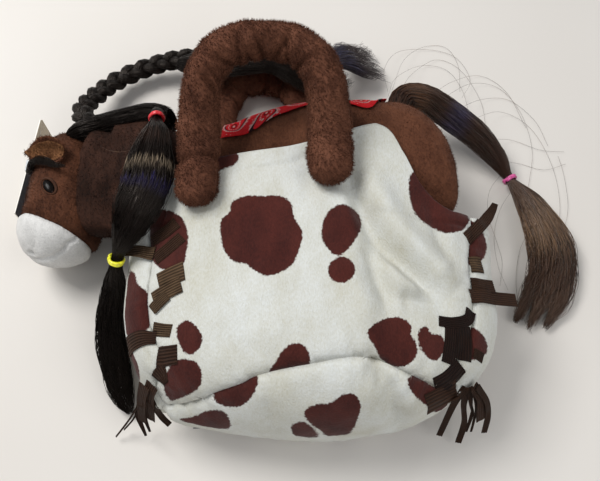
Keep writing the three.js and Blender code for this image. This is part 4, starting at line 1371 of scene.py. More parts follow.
def make_hair(name, dark, light, roughness, shine, bands=()):
    """Streaked hair. Each band has a place along it, a half width and a tint; most are painted highlights.
    """
    material, tree, shader, _ = start_material(
        name, Specular_IOR_Level=shine, Specular_Tint=(1.0, 0.86, 0.76, 1.0), Anisotropic=0.6)
    add, minus, times, _ = operations(tree)
    uv = node(tree, "TexCoord").outputs["UV"]
    drawn = node(tree, "Mapping", {"Vector": uv, "Scale": (2.5, 90.0, 1.0)}).outputs[0]
    streak = noise_of(tree, drawn, 1.0, 3.0, 0.6)
    share = ranged(tree, streak, 0.35, 0.7)
    base = mixed(tree, share, dark, light)
    along = node(tree, "SeparateXYZ", {"Vector": uv}).outputs["X"]
    ragged = add(along, times(minus(streak, 0.5), 0.16))
    for middle, width, tint in bands:
        off = maths(tree, "ABSOLUTE", minus(ragged, middle))
        base = mixed(tree, times(ranged(tree, off, width, width * 0.3), share), base, tint)
    feed(tree, shader, base,
         ranged(tree, streak, 0.3, 0.7, roughness - 0.08, roughness + 0.1), streak, 0.0004)
    return material


black_hair = make_hair("black_hair", rgb(3, 2, 1), rgb(20, 12, 8), 0.36, 0.3)
# Ponytail bands: a brown tone of the hair, then a painted tan highlight and a painted blue glint.
ponytail_hair = make_hair("ponytail_hair", rgb(3, 2, 1), rgb(24, 14, 10), 0.38, 0.3,
                          [(0.36, 0.05, rgb(52, 33, 24)), (0.475, 0.026, rgb(150, 132, 110)),
                           (0.56, 0.028, rgb(40, 36, 84))])
# Both tail bands are painted highlights.
tail_hair = make_hair("tail_hair", rgb(14, 7, 4), rgb(88, 56, 36), 0.3, 0.6,
                      [(0.46, 0.14, rgb(150, 118, 88)), (0.9, 0.12, rgb(104, 78, 62))])
# Tail top bands: a painted tan highlight and a painted blue glint.
tail_top_hair = make_hair("tail_top_hair", rgb(16, 8, 6), rgb(74, 44, 28), 0.33, 0.5,
                          [(0.22, 0.1, rgb(104, 70, 46)), (0.46, 0.08, rgb(60, 62, 96))])
# The tuft's lighter grey streaks are painted sheen on black hair, and its band is a painted blue glint.
tuft_hair = make_hair("tuft_hair", rgb(24, 18, 20), rgb(84, 70, 72), 0.4, 0.4,
                      [(0.45, 0.2, rgb(66, 72, 100))])
print("finishes of hair:", [name for name in bpy.data.materials.keys() if name.endswith("hair")])

# %% Strands


def strand_piece(name, lines, radii):
    """Three-sided strands as one mesh. Lines are (strand, step, 3) and radii (strand, step), in mm."""
    count, steps, _ = lines.shape
    ahead = np.gradient(lines, axis=1)
    side = unit(np.cross(ahead, (0.37, 0.61, 0.7)))
    rise = unit(np.cross(side, ahead))
    rings = [lines + radii[..., None] * (side * math.cos(turn) + rise * math.sin(turn))
             for turn in THIRDS]
    points = np.stack(rings, 2).reshape(-1, 3)
    first = (np.arange(count)[:, None] * steps + np.arange(steps - 1)[None]).ravel() * 3
    quads = [np.stack([first + k, first + (k + 1) % 3, first + 3 + (k + 1) % 3, first + 3 + k], 1)
             for k in range(3)]
    starts = np.arange(count) * steps * 3
    ends = starts + (steps - 1) * 3
    caps = [[a + 2, a + 1, a] for a in starts] + [[b, b + 1, b + 2] for b in ends]
    piece = mesh_piece(name, points, np.vstack(quads).tolist() + caps)
    corners = np.empty(len(piece.data.loops), np.int32)
    piece.data.loops.foreach_get("vertex_index", corners)
    along = (corners // 3) % steps / (steps - 1)
    across = (corners // (3 * steps)) / count
    piece.data.uv_layers.new(name="UVMap").data.foreach_set(
        "uv", np.stack([along, across], 1).astype(np.float32).ravel())
    return piece


# %% Strand lines through a lock


def lock_lines(stations, count, seed, steps=26, fray=0.12, drift=0.22, rim=0.35, clumps=0):
    """Strand lines through a lock, given as [x, y, z, half width, half height] in millimetres.

    Clumps gathers the free ends into this many points of unequal length.
    """
    turns = np.random.default_rng(seed)
    path = smooth_line(np.array(stations, float), 120)
    middle, half_width, half_height = path[:, :3], path[:, 3], path[:, 4]
    _, side, rise = frames_along(middle)
    radius = np.sqrt(turns.uniform(rim, 1.0, count))
    angle = turns.uniform(0, 2 * np.pi, count)
    ends = 1 - fray * turns.uniform(0, 1, count) ** 1.5
    if clumps:
        place = (radius * np.cos(angle) + 1) / 2 * clumps
        home = (np.floor(place) + 0.5) / clumps * 2 - 1
        ends -= 0.06 * np.abs(place % 1 - 0.5) * 2 + 0.05 * np.sin(np.floor(place) * 2.4 + 1)
    lines = np.empty((count, steps, 3))
    for number in range(count):
        at = np.linspace(0, ends[number], steps) * (len(path) - 1)
        marks = np.arange(len(path))
        wave = drift * np.sin(at / 9 + turns.uniform(0, 6)) * np.sin(at / 23 + turns.uniform(0, 6))
        a = radius[number] * math.cos(angle[number]) + wave
        if clumps:
            a = a + (home[number] - a) * 0.4 * ease(0.75, 1.0, np.linspace(0, 1, steps))
        b = radius[number] * math.sin(angle[number]) + wave * 0.6

        def read(values):
            return np.interp(at, marks, values)
        for k in range(3):
            lines[number, :, k] = (read(middle[:, k]) + a * read(half_width * side[:, k])
                                   + b * read(half_height * rise[:, k]))
    lines[..., 2] = np.maximum(lines[..., 2], 0.5)
    return lines


# %% A lock


def lock(name, stations, count, thickness, material, slot, nodes, seed, core_share=1.0, **how):
    """A core and its strands, joined as one piece. The core may end before the strands do."""
    path = smooth_line(np.array(stations, float), 60)
    if core_share < 1:
        path = path[:int(60 * core_share)]
        path[:, 3:] *= ease(1, 0.45, np.linspace(0, 1, len(path)))[:, None] * 0.9 + 0.1
    core = tube(name + "_core", path[:, :3], path[:, 3] * 0.86, path[:, 4] * 0.86, 20)
    keep_above(core)
    lines = lock_lines(stations, count, seed, **how)
    taper = np.linspace(1, 0.35, lines.shape[1]) * thickness
    strands = strand_piece(name, lines, np.tile(taper, (count, 1)))
    joined([core, strands], into=strands)
    dress(strands, material, "horse", slot, *nodes)
    print(name, len(strands.data.polygons), "faces")
    return strands


# %% [markdown]
# ## The ponytail
# It springs from the mane through a red elastic, lies down over the neck, is caught again by a
# yellow elastic beside the bag, and its end lies on the table.

# %% Ponytail
beside_bag = -half_width - 9
lock("ponytail_upper_hair", [
    [-101, 119, 71, 4, 4], [-100.6, 114, 79.4, 3.4, 3.4], [-99.6, 104, 82.6, 3.6, 3.6],
    [-98, 92, 88, 8, 5], [-98, 70, 93, 13, 6], [-99, 52, 93, 13.5, 6.5], [-105, 35, 90, 12.5, 6],
    [-112, 24, 80, 8.5, 5], [beside_bag + 7.5, 18, 68, 3.4, 3.4], [beside_bag + 6, 15, 64, 3.4, 3.4],
], 900, 0.28, ponytail_hair, "black_hair", ["ponytail_upper"], 3, fray=0.0)
lock("ponytail_lower_hair", [
    [beside_bag + 6, 15, 64, 3.4, 3.4], [beside_bag + 4.5, 12, 60, 3.6, 3.6],
    [beside_bag + 1, 5, 46, 6.5, 6], [beside_bag - 3, -8, 34, 8, 6], [beside_bag - 4, -23, 20, 9, 6],
    [beside_bag - 1, -41, 12, 9, 6], [beside_bag + 4, -57, 8, 7, 5], [beside_bag + 10, -68, 5, 2, 2],
], 700, 0.28, black_hair, "black_hair", ["ponytail_lower"], 4, fray=0.35, core_share=0.8, steps=20)

# %% [markdown]
# ## The tail
# Brown strands, thick at the rump, through a pink elastic and fanned out on the table.

# %% Tail
lock("tail_upper_hair", [
    [62, 132, 54, 6, 6], [69, 147, 51, 9, 8], [86, 151, 45, 11, 8], [105, 144, 35, 11.5, 8.5],
    [125, 134, 25, 10.5, 7.5], [141, 121, 15, 8, 6], [149, 108, 10, 3.6, 3.6], [151, 104, 10, 3.4, 3.4],
], 900, 0.28, tail_top_hair, "brown_hair", ["tail_upper"], 5, fray=0.0)
lock("tail_lower_hair", [
    [151, 104, 10, 3.4, 3.4], [153, 100, 10, 3.6, 3.6], [163, 82, 10, 10, 6], [172.5, 54, 10, 15, 7],
    [172.5, 33, 9, 15.5, 6], [166, 14, 7, 16, 5], [158, 2, 5.5, 15, 3.5], [150, -11, 4, 14, 2],
], 1250, 0.28, tail_hair, "brown_hair", ["tail_lower"], 6, fray=0.3, core_share=0.78, clumps=3)

# %% [markdown]
# ## Mane, forelock and braid
# A braid is three locks that take turns in the middle: each swings from side to side once in a
# turn and over or under twice. Three such lines, a third of a turn apart, never meet.

# %% Mane and forelock
lock("mane_hair", [
    [-170, 118, 44, 3, 3.5], [-161, 120, 48, 7, 9], [-146, 125, 47, 8.5, 11], [-126, 124, 53, 9.5, 14],
    [-108, 124, 59, 8.5, 15], [-94, 121, 62, 6, 12],
], 600, 0.3, black_hair, "black_hair", ["mane"], 7, fray=0.05, steps=18)
lock("forelock_hair", [
    [-192, 86, 50, 1.5, 1.5], [-188, 89, 56, 2.8, 2.2], [-183, 89, 61, 2.6, 2.0], [-176, 86, 65, 2.2, 1.6],
    [-168, 82, 67, 1.6, 1.2], [-160, 80, 67.5, 1.2, 0.9],
], 160, 0.22, black_hair, "black_hair", ["forelock"], 8, fray=0.75, drift=0.9, core_share=0.55)

# %% Braid
braid_route = smooth_line([
    [-160, 130, 43], [-168, 149, 34], [-164, 169, 24], [-152, 190, 16], [-130, 204, 15],
    [-102, 208, 21], [-72, 203, 30], [-33, 199, 33], [-6, 195, 34], [16, 194, 33]], 400)


def braid_piece(name, route, swing, lift, radius, pitch, count):
    """Three plaited locks along a route, each with its core and its strands."""
    run = run_of(route)
    _, side, rise = frames_along(route)
    close = ease(0, 10, run[-1] - run) * 0.75 + 0.25
    pieces = []
    for number in range(3):
        turn = 2 * np.pi * (run / pitch + number / 3)
        middle = (route + side * (swing * close * np.sin(turn))[:, None]
                  + rise * (lift * close * np.sin(2 * turn))[:, None])
        size = radius * (0.55 + 0.45 * close)
        rows = np.column_stack([middle, size * 1.12, size * 0.9])[::4]
        path = smooth_line(rows, 160)
        pieces.append(tube(name + "_core", path[:, :3], path[:, 3] * 0.93, path[:, 4] * 0.93, 18))
        lines = lock_lines(rows, count, 50 + number, steps=90, fray=0, drift=0.08, rim=0.7)
        pieces.append(strand_piece(name, lines, np.full(lines.shape[:2], 0.22)))
    return joined(pieces, into=pieces[1])


braid = braid_piece("braid_hair", braid_route, 4.3, 2.6, 3.6, 36, 90)
keep_above(braid)
dress(braid, black_hair, "horse", "black_hair", "braid")
print("braid", len(braid.data.polygons), "faces")

# %% Ends and loose hair of the braid
lock("braid_tuft_hair", [
    [16, 194, 33, 3.4, 3.4], [19, 194, 32.5, 3.6, 3.6], [28, 202, 28, 12, 6], [37, 208, 20, 18, 6],
    [47, 214, 11, 17, 5], [58, 219, 5, 20, 3],
], 700, 0.24, tuft_hair, "black_hair", ["braid_tuft"], 9,
     fray=0.7, core_share=0.7, drift=0.35, steps=20)
lock("loose_braid_hair", [
    [-100, 199, 28, 6, 3], [-84, 193, 36, 12, 3], [-66, 191, 39, 14, 3], [-44, 191, 40, 12, 3],
    [-26, 191, 39, 11, 3], [-10, 186, 37, 14, 3.5], [4, 182, 33, 16, 3.5], [18, 184, 29, 16, 4],
    [28, 192, 24, 12, 4],
], 500, 0.26, black_hair, "black_hair", [], 10, fray=0.3, core_share=0.8, steps=20)

# %% [markdown]
# ## Things that lie on the plush
# Trim has to follow the finished surfaces, with their folds, and not the plain solids. Rays find
# them: straight down for ribbons and eyes, and towards the middle of the body for the bandana.

# %% Rays on to the finished pieces


def tree_of(*names):
    """One search tree over some finished pieces."""
    points, faces = [], []
    for name in names:
        piece = bpy.data.objects[name]
        first = len(points)
        points += [piece.matrix_world @ corner.co for corner in piece.data.vertices]
        faces += [[first + corner for corner in face.vertices] for face in piece.data.polygons]
    return BVHTree.FromPolygons(points, faces)


def height_on(tree, x, y, default=0.0):
    """The height of the topmost surface under (x, y), in millimetres."""
    hit = tree.ray_cast(Vector((x, y, 400)) * MM, Vector((0, 0, -1)))[0]
    return hit.z / MM if hit else default


bag_tree = tree_of("front_panel_plush", "base_panel_plush", "left_gusset_plush", "right_gusset_plush")
head_tree = tree_of("face_plush", "muzzle_plush")
torso_tree = tree_of("torso_plush")
print("front of the bag at its middle is", round(height_on(bag_tree, 0, 0), 1), "mm high")

# %% [markdown]
# ## Ears
# An ear is two leaves sewn together at their rim, brown outside and tan inside, cupped along its
# length and pinched at the base. The cup of the near ear faces up.

# %% Ears


def ear_leaf(name, base, tip, half_width, cup, face, sink):
    """A cupped leaf from base to tip. Face is the way its hollow looks, and sink is how deep it lies."""
    base, tip, face = [np.array(p, float) for p in (base, tip, face)]
    along = tip - base
    side = unit(np.cross(along, face))
    out = unit(np.cross(side, along))

    def at(u, v):
        across = 2 * v - 1
        wide = half_width * (np.sin(np.pi * np.clip(u * 0.88 + 0.12, 0, 1) ** 0.85) + 0.03)
        rise = cup * across**2 * np.sin(np.pi * np.clip(u + 0.12, 0, 1)) ** 0.5
        curl = 1.5 * u**2
        return (base + np.outer(u, along) + np.outer(across * wide, side)
                + np.outer(rise + curl - sink, out))
    return grid(name, 26, 18, at)


def make_ear(side, base, tip, half_width, cup, face):
    outer = ear_leaf(side + "_ear_plush", base, tip, half_width, cup, face, 1.4)
    finish_with(outer, "SOLIDIFY", thickness=1.4 * MM, offset=0)
    finish_with(outer, "SUBSURF", levels=1)
    bumped(clean(outer), 0.25 * lumps(points_of(outer), 4, 61))
    add_pile(outer, count=1600, length=2.4, seed=73, thickness=0.22)
    dress(outer, horse_plush, "horse", "brown_plush", side + "_ear")
    inner = ear_leaf(side + "_ear_lining", base, tip, half_width * 0.68, cup * 0.6, face, 0.5)
    finish_with(inner, "SOLIDIFY", thickness=0.9 * MM, offset=0)
    finish_with(inner, "SUBSURF", levels=1)
    bumped(clean(inner), 0.2 * lumps(points_of(inner), 3, 62))
    add_pile(inner, count=900, length=2.2, seed=74, thickness=0.22)
    dress(inner, tan_plush, "horse", "ear_plush")
    print(side, "ear", len(outer.data.vertices), "points")


make_ear("near", (-164, 93, 65), (-193, 97, 58), 10, 5, (-0.25, -0.35, 1))
make_ear("far", (-169, 104, 18), (-184, 123, 13), 7.5, 3.0, (-0.3, 0.2, 1))

# %% [markdown]
# ## Eyes
# Each eye is a domed black button, set in a pinched almond lid of plush. The far one is the same
# on the underside of the head.

# %% Eye material and eyes
eye_plastic = mottled("eye_plastic", rgb(5, 3, 2), rgb(14, 8, 6), 300.0, (0.22, 0.32), 900.0,
                      (0.35, 0.65), Roughness=0.3, Specular_IOR_Level=0.12, Coat_Weight=0.0)
lid_plush = plush("lid_plush", rgb(40, 22, 14), rgb(84, 54, 38), tuft=0.8, nap=7, depth=0.0004)
lid_slant = math.radians(-54)
button_size, lid_size = (5.9, 3.4), (6.7, 4.2)  # half the length and half the width


def make_eye(side, facing):
    low, high = box_mm(side + "_eye")
    middle = (low + high) / 2

    def spot(x, y):
        """A point round the eye, turned the way the lids slant, on the head's surface."""
        place_x = middle.x + x * math.cos(lid_slant) - y * math.sin(lid_slant)
        place_y = middle.y + x * math.sin(lid_slant) + y * math.cos(lid_slant)
        start = Vector((place_x, place_y, middle.z + 60 * facing)) * MM
        hit = head_tree.ray_cast(start, Vector((0, 0, -facing)))[0]
        return [place_x, place_y, hit.z / MM if hit else middle.z]

    def dome(u, v):
        reach = np.sin(u * np.pi / 2)
        across = button_size[0] * reach * np.cos(2 * np.pi * v)
        down = button_size[1] * reach * np.sin(2 * np.pi * v)
        base = np.array([spot(a, b) for a, b in zip(across, down)])
        base[:, 2] += facing * (2.0 * np.cos(u * np.pi / 2) - 0.5)
        return base
    button = clean(grid(side + "_eye_button", 12, 28, dome))
    finish_with(button, "SOLIDIFY", thickness=0.8 * MM, offset=-1)
    dress(button, eye_plastic, "horse", "eye_plastic", side + "_eye")
    for part, reach, height in (("upper", 1, 0.95), ("lower", -1, 0.35)):
        arc = np.linspace(-0.08, 1.08, 22) * np.pi * reach
        rim = np.array([spot(lid_size[0] * math.cos(a), lid_size[1] * math.sin(a)) for a in arc])
        rim[:, 2] += facing * 0.3
        taper = np.sin(np.linspace(0.12, np.pi - 0.12, 22)) ** 0.6
        lid = tube(f"{side}_eye_lid_{part}", rim, height * 1.1 * taper, height * taper, 12)
        dress(lid, lid_plush, "horse", "brown_plush")
    print(side, "eye at", [round(c) for c in middle])


make_eye("near", 1)
make_eye("far", -1)

# %% [markdown]
# ## Ribbed ribbon
# The fringe is grosgrain, a flat ribbon with fine ribs. Each piece is drawn over the photograph:
# a row of picture points is sent back through the camera on to whatever surface lies there, or
# on to a given height where the ribbon hangs clear of the bag.

# %% Ribbon material


def make_ribbon(name, dark, light):
    material, tree, shader, at = start_material(name, Specular_IOR_Level=0.15)
    uv = node(tree, "TexCoord").outputs["UV"]
    parts = node(tree, "SeparateXYZ", {"Vector": uv}).outputs
    add, _, times, _ = operations(tree)
    rib = maths(tree, "SINE", times(parts["Y"], 2 * math.pi * 6))
    weft = maths(tree, "SINE", times(parts["X"], 260.0))
    wear = noise_of(tree, at, 160.0, 3.0)
    # The ribs tint the colour too: painted shade in their valleys and painted light on their crests, over a
    # random tone.
    share = add(ranged(tree, rib, -1.0, 1.0, 0.0, 0.65), ranged(tree, wear, 0.3, 0.7, 0.0, 0.35))
    feed(tree, shader, mixed(tree, share, dark, light), ranged(tree, wear, 0.3, 0.7, 0.6, 0.8),
         add(rib, times(weft, 0.3)), 0.0004)
    return material


taupe = make_ribbon("taupe_ribbon", rgb(40, 26, 17), rgb(116, 92, 68))
brown = make_ribbon("brown_ribbon", rgb(38, 22, 14), rgb(74, 50, 36))
dark = make_ribbon("dark_ribbon", rgb(20, 11, 8), rgb(46, 28, 20))
print(dark.name, "has", len(dark.node_tree.nodes), "nodes")

# %% From the picture on to the toy


def model_of(seen, height):
    """The model point at this height that is seen at a picture point, in millimetres."""
    focal = PICTURE[0] / 2 / math.tan(field_of_view / 2)
    right, down = [(seen[axis] - PICTURE[axis] / 2) / focal for axis in (0, 1)]
    ray = view_axes @ np.array([right, -down, -1])
    eye = np.array(camera_place) / MM
    return eye + ray * (height - eye[2]) / ray[2]


def laid_point(seen, tree):
    """The point seen there, on the surface of the tree or at a height, given as a third number."""
    if len(seen) == 3:
        return model_of(seen, seen[2])
    eye = Vector(camera_place)
    ray = Vector(model_of(seen, 0)) * MM - eye
    hit = tree.ray_cast(eye, ray.normalized())[0]
    return np.array(hit) / MM if hit else model_of(seen, 60)


print("the picture's middle shows", laid_point((300, 240), bag_tree).round())

# %% A ribbed strip
LEVELLINGS = 24


def strip(name, seen, width, stand=0.5, thickness=0.5, tree=None, cut=0.0, ribs=6):
    """A ribbed strip through picture points, which lie on the tree where they have no height."""
    tree = tree or bag_tree
    spots = np.array([laid_point(point, tree) for point in seen])
    lies = np.array([len(point) == 2 for point in seen], float)
    path = smooth_line(spots, 240)
    lies = np.interp(np.linspace(0, 1, 240), np.linspace(0, 1, len(seen)), lies)
    run = run_of(path)
    rows, columns = max(6, int(run[-1] / 0.9)), 4 * ribs
    middle, even = evenly(path, rows + 1)
    lies = np.interp(even, run, lies)
    ahead = np.gradient(middle, axis=0)
    side = unit(np.cross(ahead, (0.0, 0.0, 1.0)))
    rise = unit(np.cross(side, ahead))
    widths = width if np.size(width) > 1 else [width, width]
    half = np.interp(even / run[-1], np.linspace(0, 1, len(widths)), widths) / 2
    across = np.linspace(-1, 1, columns + 1)
    points = middle[:, None] + side[:, None] * (half[:, None] * across[None])[..., None]
    points[-1] += (points[-1] - points[-2]) * (cut * across)[:, None]
    below = np.array([[height_on(tree, x, y, -1.0) for x, y in row[:, :2]] for row in points])
    level = np.where((below > 0) & (lies[:, None] > 0.4), below, points[..., 2])
    for _ in range(LEVELLINGS):
        soft = level.copy()
        soft[1:-1] = (level[:-2] + 2 * level[1:-1] + level[2:]) / 4
        soft[:, 1:-1] = (soft[:, :-2] + 2 * soft[:, 1:-1] + soft[:, 2:]) / 4
        level = np.maximum(soft, below)
    points[..., 2] = np.maximum(level, below) + stand
    rib = 0.12 * np.cos(np.pi * across * ribs)
    points += rise[:, None] * rib[None, :, None]
    points[..., 2] = np.maximum(points[..., 2], 0.4)

    def at(u, v):
        return points[np.round(u * rows).astype(int), np.round(v * columns).astype(int)]
    piece = grid(name, rows, columns, at)
    finish_with(piece, "SOLIDIFY", thickness=thickness * MM, offset=1)
    return smooth_shaded(piece)


def ribbon(name, seen, width, weave, nodes=(), **how):
    piece = strip(name, seen, width, **how)
    dress(piece, weave, "bag", "ribbon", *nodes)
    return piece


# %% Ribbons drawn in the picture
left_fringe = [  # picture route, width in millimetres, how far it stands off, weave
    ([(152, 242), (164, 233), (177, 223)], 8, 0.6, brown),
    ([(155, 260), (168, 249), (182, 237)], 8, 0.5, brown),
    ([(154, 254), (142, 252, 72), (128, 251, 66)], 7.6, 1.4, taupe),
    ([(158, 282), (171, 276), (184, 271)], 11.5, 0.6, taupe),
    ([(153, 300), (167, 292), (181, 285)], 9.5, 1.1, taupe),
    ([(153, 330), (162, 330.5), (171, 331)], 7.2, 0.6, taupe),
    ([(156, 338), (143, 343, 60), (129, 350, 50)], [6.5, 9, 11], 1.3, brown),
    ([(157, 357), (167, 356), (177, 354.5)], 10.5, 0.6, brown),
]
right_fringe = [
    ([(467, 239), (481, 226, 64), (491, 212, 56), (495, 204, 52)], [7, 7.6, 7, 3.5], 0.7, brown),
    ([(470, 265), (476, 265), (482, 266)], 10, 0.7, taupe),
    ([(471, 284), (482, 285), (494, 287, 62)], 8, 0.6, brown),
    ([(471, 296), (493, 299, 62), (516, 301, 52)], 8.4, 1.4, brown),
    ([(471, 311), (468, 320), (455, 323), (439, 321)], 6.4, 0.7, dark),
    ([(463, 326), (464, 343), (463, 361)], 10, 0.5, dark),
]
more_fringe = [
    ([(152, 311), (159, 303.5), (167, 296)], 7, 1.5, taupe),
    ([(156, 368), (162, 376), (166, 384)], [9, 7, 3], 0.5, brown),
    # The next strip is painted shadow: a dark ribbon laid in the shade beside the dark brown strip.
    ([(452, 328), (451, 346), (448, 364)], 8, 0.4, dark),
    ([(461, 366), (449, 379), (435, 388)], 8.5, 0.6, dark),
    ([(456, 390), (441, 397), (427, 404)], 8.5, 0.8, brown),
    ([(474, 353), (479, 356), (483, 359)], 5, 0.6, brown),
]

# %% Fringe
for side, strips in (("left", left_fringe), ("right", right_fringe)):
    for number, (route, width, stand, weave) in enumerate(strips, 1):
        ribbon(f"fringe_{side}_{number}_ribbon", route, width, weave,
               [f"fringe_{side}_{number}"], stand=stand, cut=0.3 * math.sin(number))
for number, (route, width, stand, weave) in enumerate(more_fringe, 1):
    ribbon(f"short_ribbon_{number}", route, width, weave, stand=stand)
print(len(left_fringe) + len(right_fringe) + len(more_fringe), "ribbons")

# %% [markdown]
# ## Corner tassels
# At each lower corner one wide ribbon is slit into strands. They are cut from flat strips too,
# which hang from the corner seam down to the table.

# %% Tassels


def tassel(name, strands, node_name):
    pieces = [strip(f"{name}_{number}", route, width, stand=0.3, thickness=0.4, ribs=2)
              for number, (route, width) in enumerate(strands)]
    made = joined(pieces, into=pieces[0])
    made.name = made.data.name = name
    dress(made, brown, "bag", "ribbon", node_name)
    print(name, "of", len(strands), "strands")


tassel("tassel_left_ribbon", [
    ([(152, 385, 62), (148, 398, 50), (150, 420, 22)], [9, 8, 7]),
    ([(144, 386, 60), (141, 402, 44), (142, 422, 20)], [8, 6, 5]),
    ([(141, 400, 44), (138, 415, 24), (146, 436, 8)], [5, 4, 1.2]),
    ([(143, 400, 45), (145, 418, 22), (150, 432, 8)], [4, 3, 1.0]),
    ([(150, 400, 48), (161, 416, 30), (170, 425, 20)], [4, 3.6, 3.4]),
    ([(140, 402, 42), (129, 420, 18), (116, 437, 4)], [1.4, 0.9, 0.5]),
    ([(140, 402, 42), (134, 418, 20), (124, 430, 6)], [1.2, 0.8, 0.5]),
], "tassel_left")
tassel("tassel_right_ribbon", [
    ([(466, 388, 60), (455, 402, 44), (439, 436, 6)], [4.5, 3.8, 3.6]),
    ([(468, 388, 60), (464, 404, 44), (464, 424, 20), (458, 443, 5)], [4.5, 4, 4, 3.8]),
    ([(470, 388, 60), (471, 404, 44), (472, 414, 30), (466, 432, 12)], [4, 2.6, 2.2, 1.2]),
    ([(473, 388, 60), (476, 404, 44), (475, 416, 28), (471, 432, 12)], [3, 1.8, 1.6, 1.0]),
    ([(474, 387, 60), (482, 400, 48), (482, 420, 28)], [7, 8, 8]),
    ([(478, 387, 60), (487, 402, 46), (488, 416, 30), (484, 433, 14)], [4, 4, 3.8, 3.4]),
], "tassel_right")

# %% [markdown]
# ## The bandana
# A strip of red cotton lies round the horse's back. Its lower edge is known from the picture: for
# each place along the back, the turn round the body is searched at which the cloth's edge is seen
# on that line.

# %% Paisley cotton


def make_paisley():
    """Nested drops in a grid of tiles, every other one upside down, with a sunburst and dots."""
    material, tree, shader, at = start_material("paisley_cotton", Specular_IOR_Level=0.15)
    add, minus, times, greatest = operations(tree)
    uv = node(tree, "TexCoord").outputs["UV"]
    sized = node(tree, "Mapping", {"Vector": uv, "Scale": (5.2, 2.7, 1.0),
                                             "Location": (0.12, 0.25, 0.0)}).outputs[0]
    parts = node(tree, "SeparateXYZ", {"Vector": sized}).outputs
    row = maths(tree, "FLOOR", parts["Y"])
    shifted = add(parts["X"], times(row, 0.5))
    tile = maths(tree, "ABSOLUTE", add(maths(tree, "FLOOR", shifted), row))
    flip = minus(times(maths(tree, "MODULO", tile, 2.0), 2.0), 1.0)
    x = times(minus(maths(tree, "FRACT", shifted), 0.5), flip)
    y = times(minus(maths(tree, "FRACT", parts["Y"]), 0.42), flip)
    y_squared = times(y, y)
    bent = minus(x, times(y_squared, 0.9))
    reach = maths(tree, "SQRT", add(times(bent, bent), times(y_squared, 0.7)))
    drop = maths(tree, "DIVIDE", reach, greatest(minus(1.0, times(y, 1.5)), 0.15))
    angle = maths(tree, "ARCTAN2", y, bent)

    def band(low, high):
        return times(maths(tree, "GREATER_THAN", drop, low), maths(tree, "LESS_THAN", drop, high))

    def beads(count, width):
        return maths(tree, "GREATER_THAN", maths(tree, "SINE", times(angle, count)), width)
    spots = node(tree, "TexVoronoi", {"Vector": sized, "Scale": 7.0, "Randomness": 0.7})
    small = maths(tree, "LESS_THAN", spots.outputs["Distance"], 0.13)
    white = band(0.29, 0.315)
    for more in (times(band(0.325, 0.375), beads(22.0, 0.1)), times(band(0.15, 0.18), beads(12.0, 0.0)),
                 band(0.0, 0.035), times(small, maths(tree, "GREATER_THAN", drop, 0.44))):
        white = greatest(white, more)
    black = greatest(band(0.25, 0.285), band(0.06, 0.085))
    cloth = noise_of(tree, at, 260.0, 3.0)
    red = mixed(tree, ranged(tree, cloth, 0.3, 0.7), rgb(240, 14, 28), rgb(255, 38, 48))
    base = mixed(tree, black, red, rgb(40, 10, 14))
    base = mixed(tree, white, base, rgb(236, 214, 208))
    place = node(tree, "SeparateXYZ", {"Vector": uv}).outputs
    warp, weft = [maths(tree, "SINE", times(place[axis], count))
                  for axis, count in (("X", 1400.0), ("Y", 800.0))]
    feed(tree, shader, base, ranged(tree, cloth, 0.3, 0.7, 0.75, 0.9), add(warp, weft), 0.0002)
    return material


paisley_cotton = make_paisley()
print("paisley has", len(paisley_cotton.node_tree.nodes), "nodes")

# %% Where the cloth's edge is seen
band_low, band_high = box_mm("bandana")
band_line = np.array([[214, 146], [223, 140], [233, 142.5], [239, 142], [247, 134.5], [260, 127],
                      [267, 121], [277, 115.5], [291, 111], [306, 105.5], [330, 104], [350, 104.5],
                      [357, 106], [366, 108.5], [371, 109], [376, 104], [379, 99], [386, 96]], float)
band_columns, band_rows = 56, 40
rear_turn = math.radians(-50)
body_middle = np.array([0.0, 92.0, 55.0])


def body_point(x, turn, stand):
    """The torso's surface at x, at a turn from +Y towards the top, standing off by so much."""
    ray = Vector((0, math.cos(turn), math.sin(turn)))
    middle = Vector((x, body_middle[1], body_middle[2]))
    hit, normal, _, _ = torso_tree.ray_cast((middle + ray * 90) * MM, -ray)
    if hit is None:  # past the torso's end
        return np.array(middle + ray * 32)
    return np.array(hit) / MM + np.array(normal) * stand


def front_turn(x):
    """The turn at which the cloth's edge is seen on the line of the picture."""
    turns = np.radians(np.linspace(-10, 80, 46))
    seen = picture_of(np.array([body_point(x, turn, 1.2) for turn in turns]))
    wanted = np.interp(seen[:, 0], band_line[:, 0], band_line[:, 1])
    crest = seen[:, 1].argmin()
    past = np.nonzero(seen[crest:, 1] > wanted[crest:])[0]
    return turns[crest + past[0]] if len(past) else turns[-1]


band_x = np.linspace(band_low.x, band_high.x, band_columns + 1)
band_turns = np.array([front_turn(x) for x in band_x])
for _ in range(2):
    band_turns[1:-1] = (band_turns[:-2] + 2 * band_turns[1:-1] + band_turns[2:]) / 4
print("its edge lies at turns of", round(math.degrees(band_turns.min())), "to",
      round(math.degrees(band_turns.max())), "degrees")

# %% Bandana


def bandana_place(u, v):
    along, around = np.round(u * band_columns).astype(int), v
    turn = rear_turn + (band_turns[along] - rear_turn) * around
    skew = (1 - around) * 5 * (0.5 - u)
    fold = 0.55 + 0.45 * np.sin(2 * np.pi * (around * 4.2 + 0.25 * np.sin(u * 9)))
    fold += 0.3 * np.sin(u * 21 + around * 5)
    hem = 0.5 * (np.abs(around - 0.5) > 0.475)
    return np.array([body_point(band_x[i] + s, t, 1.1 + 0.55 * f + h)
                     for i, s, t, f, h in zip(along, skew, turn, fold, hem)])


bandana = grid("bandana_cotton", band_columns, band_rows, bandana_place)
finish_with(bandana, "SOLIDIFY", thickness=0.5 * MM, offset=0)
finish_with(bandana, "SUBSURF", levels=1)
clean(bandana)
dress(bandana, paisley_cotton, "horse", "red_cotton", "bandana")
print("bandana", size_of(bandana))

# %% [markdown]
# ## Elastic bands
# A rubber hair elastic is one thin ring that has been wrapped round the lock three times, so each
# band here is a coil, and its turns cross a little.

# %% Elastic bands


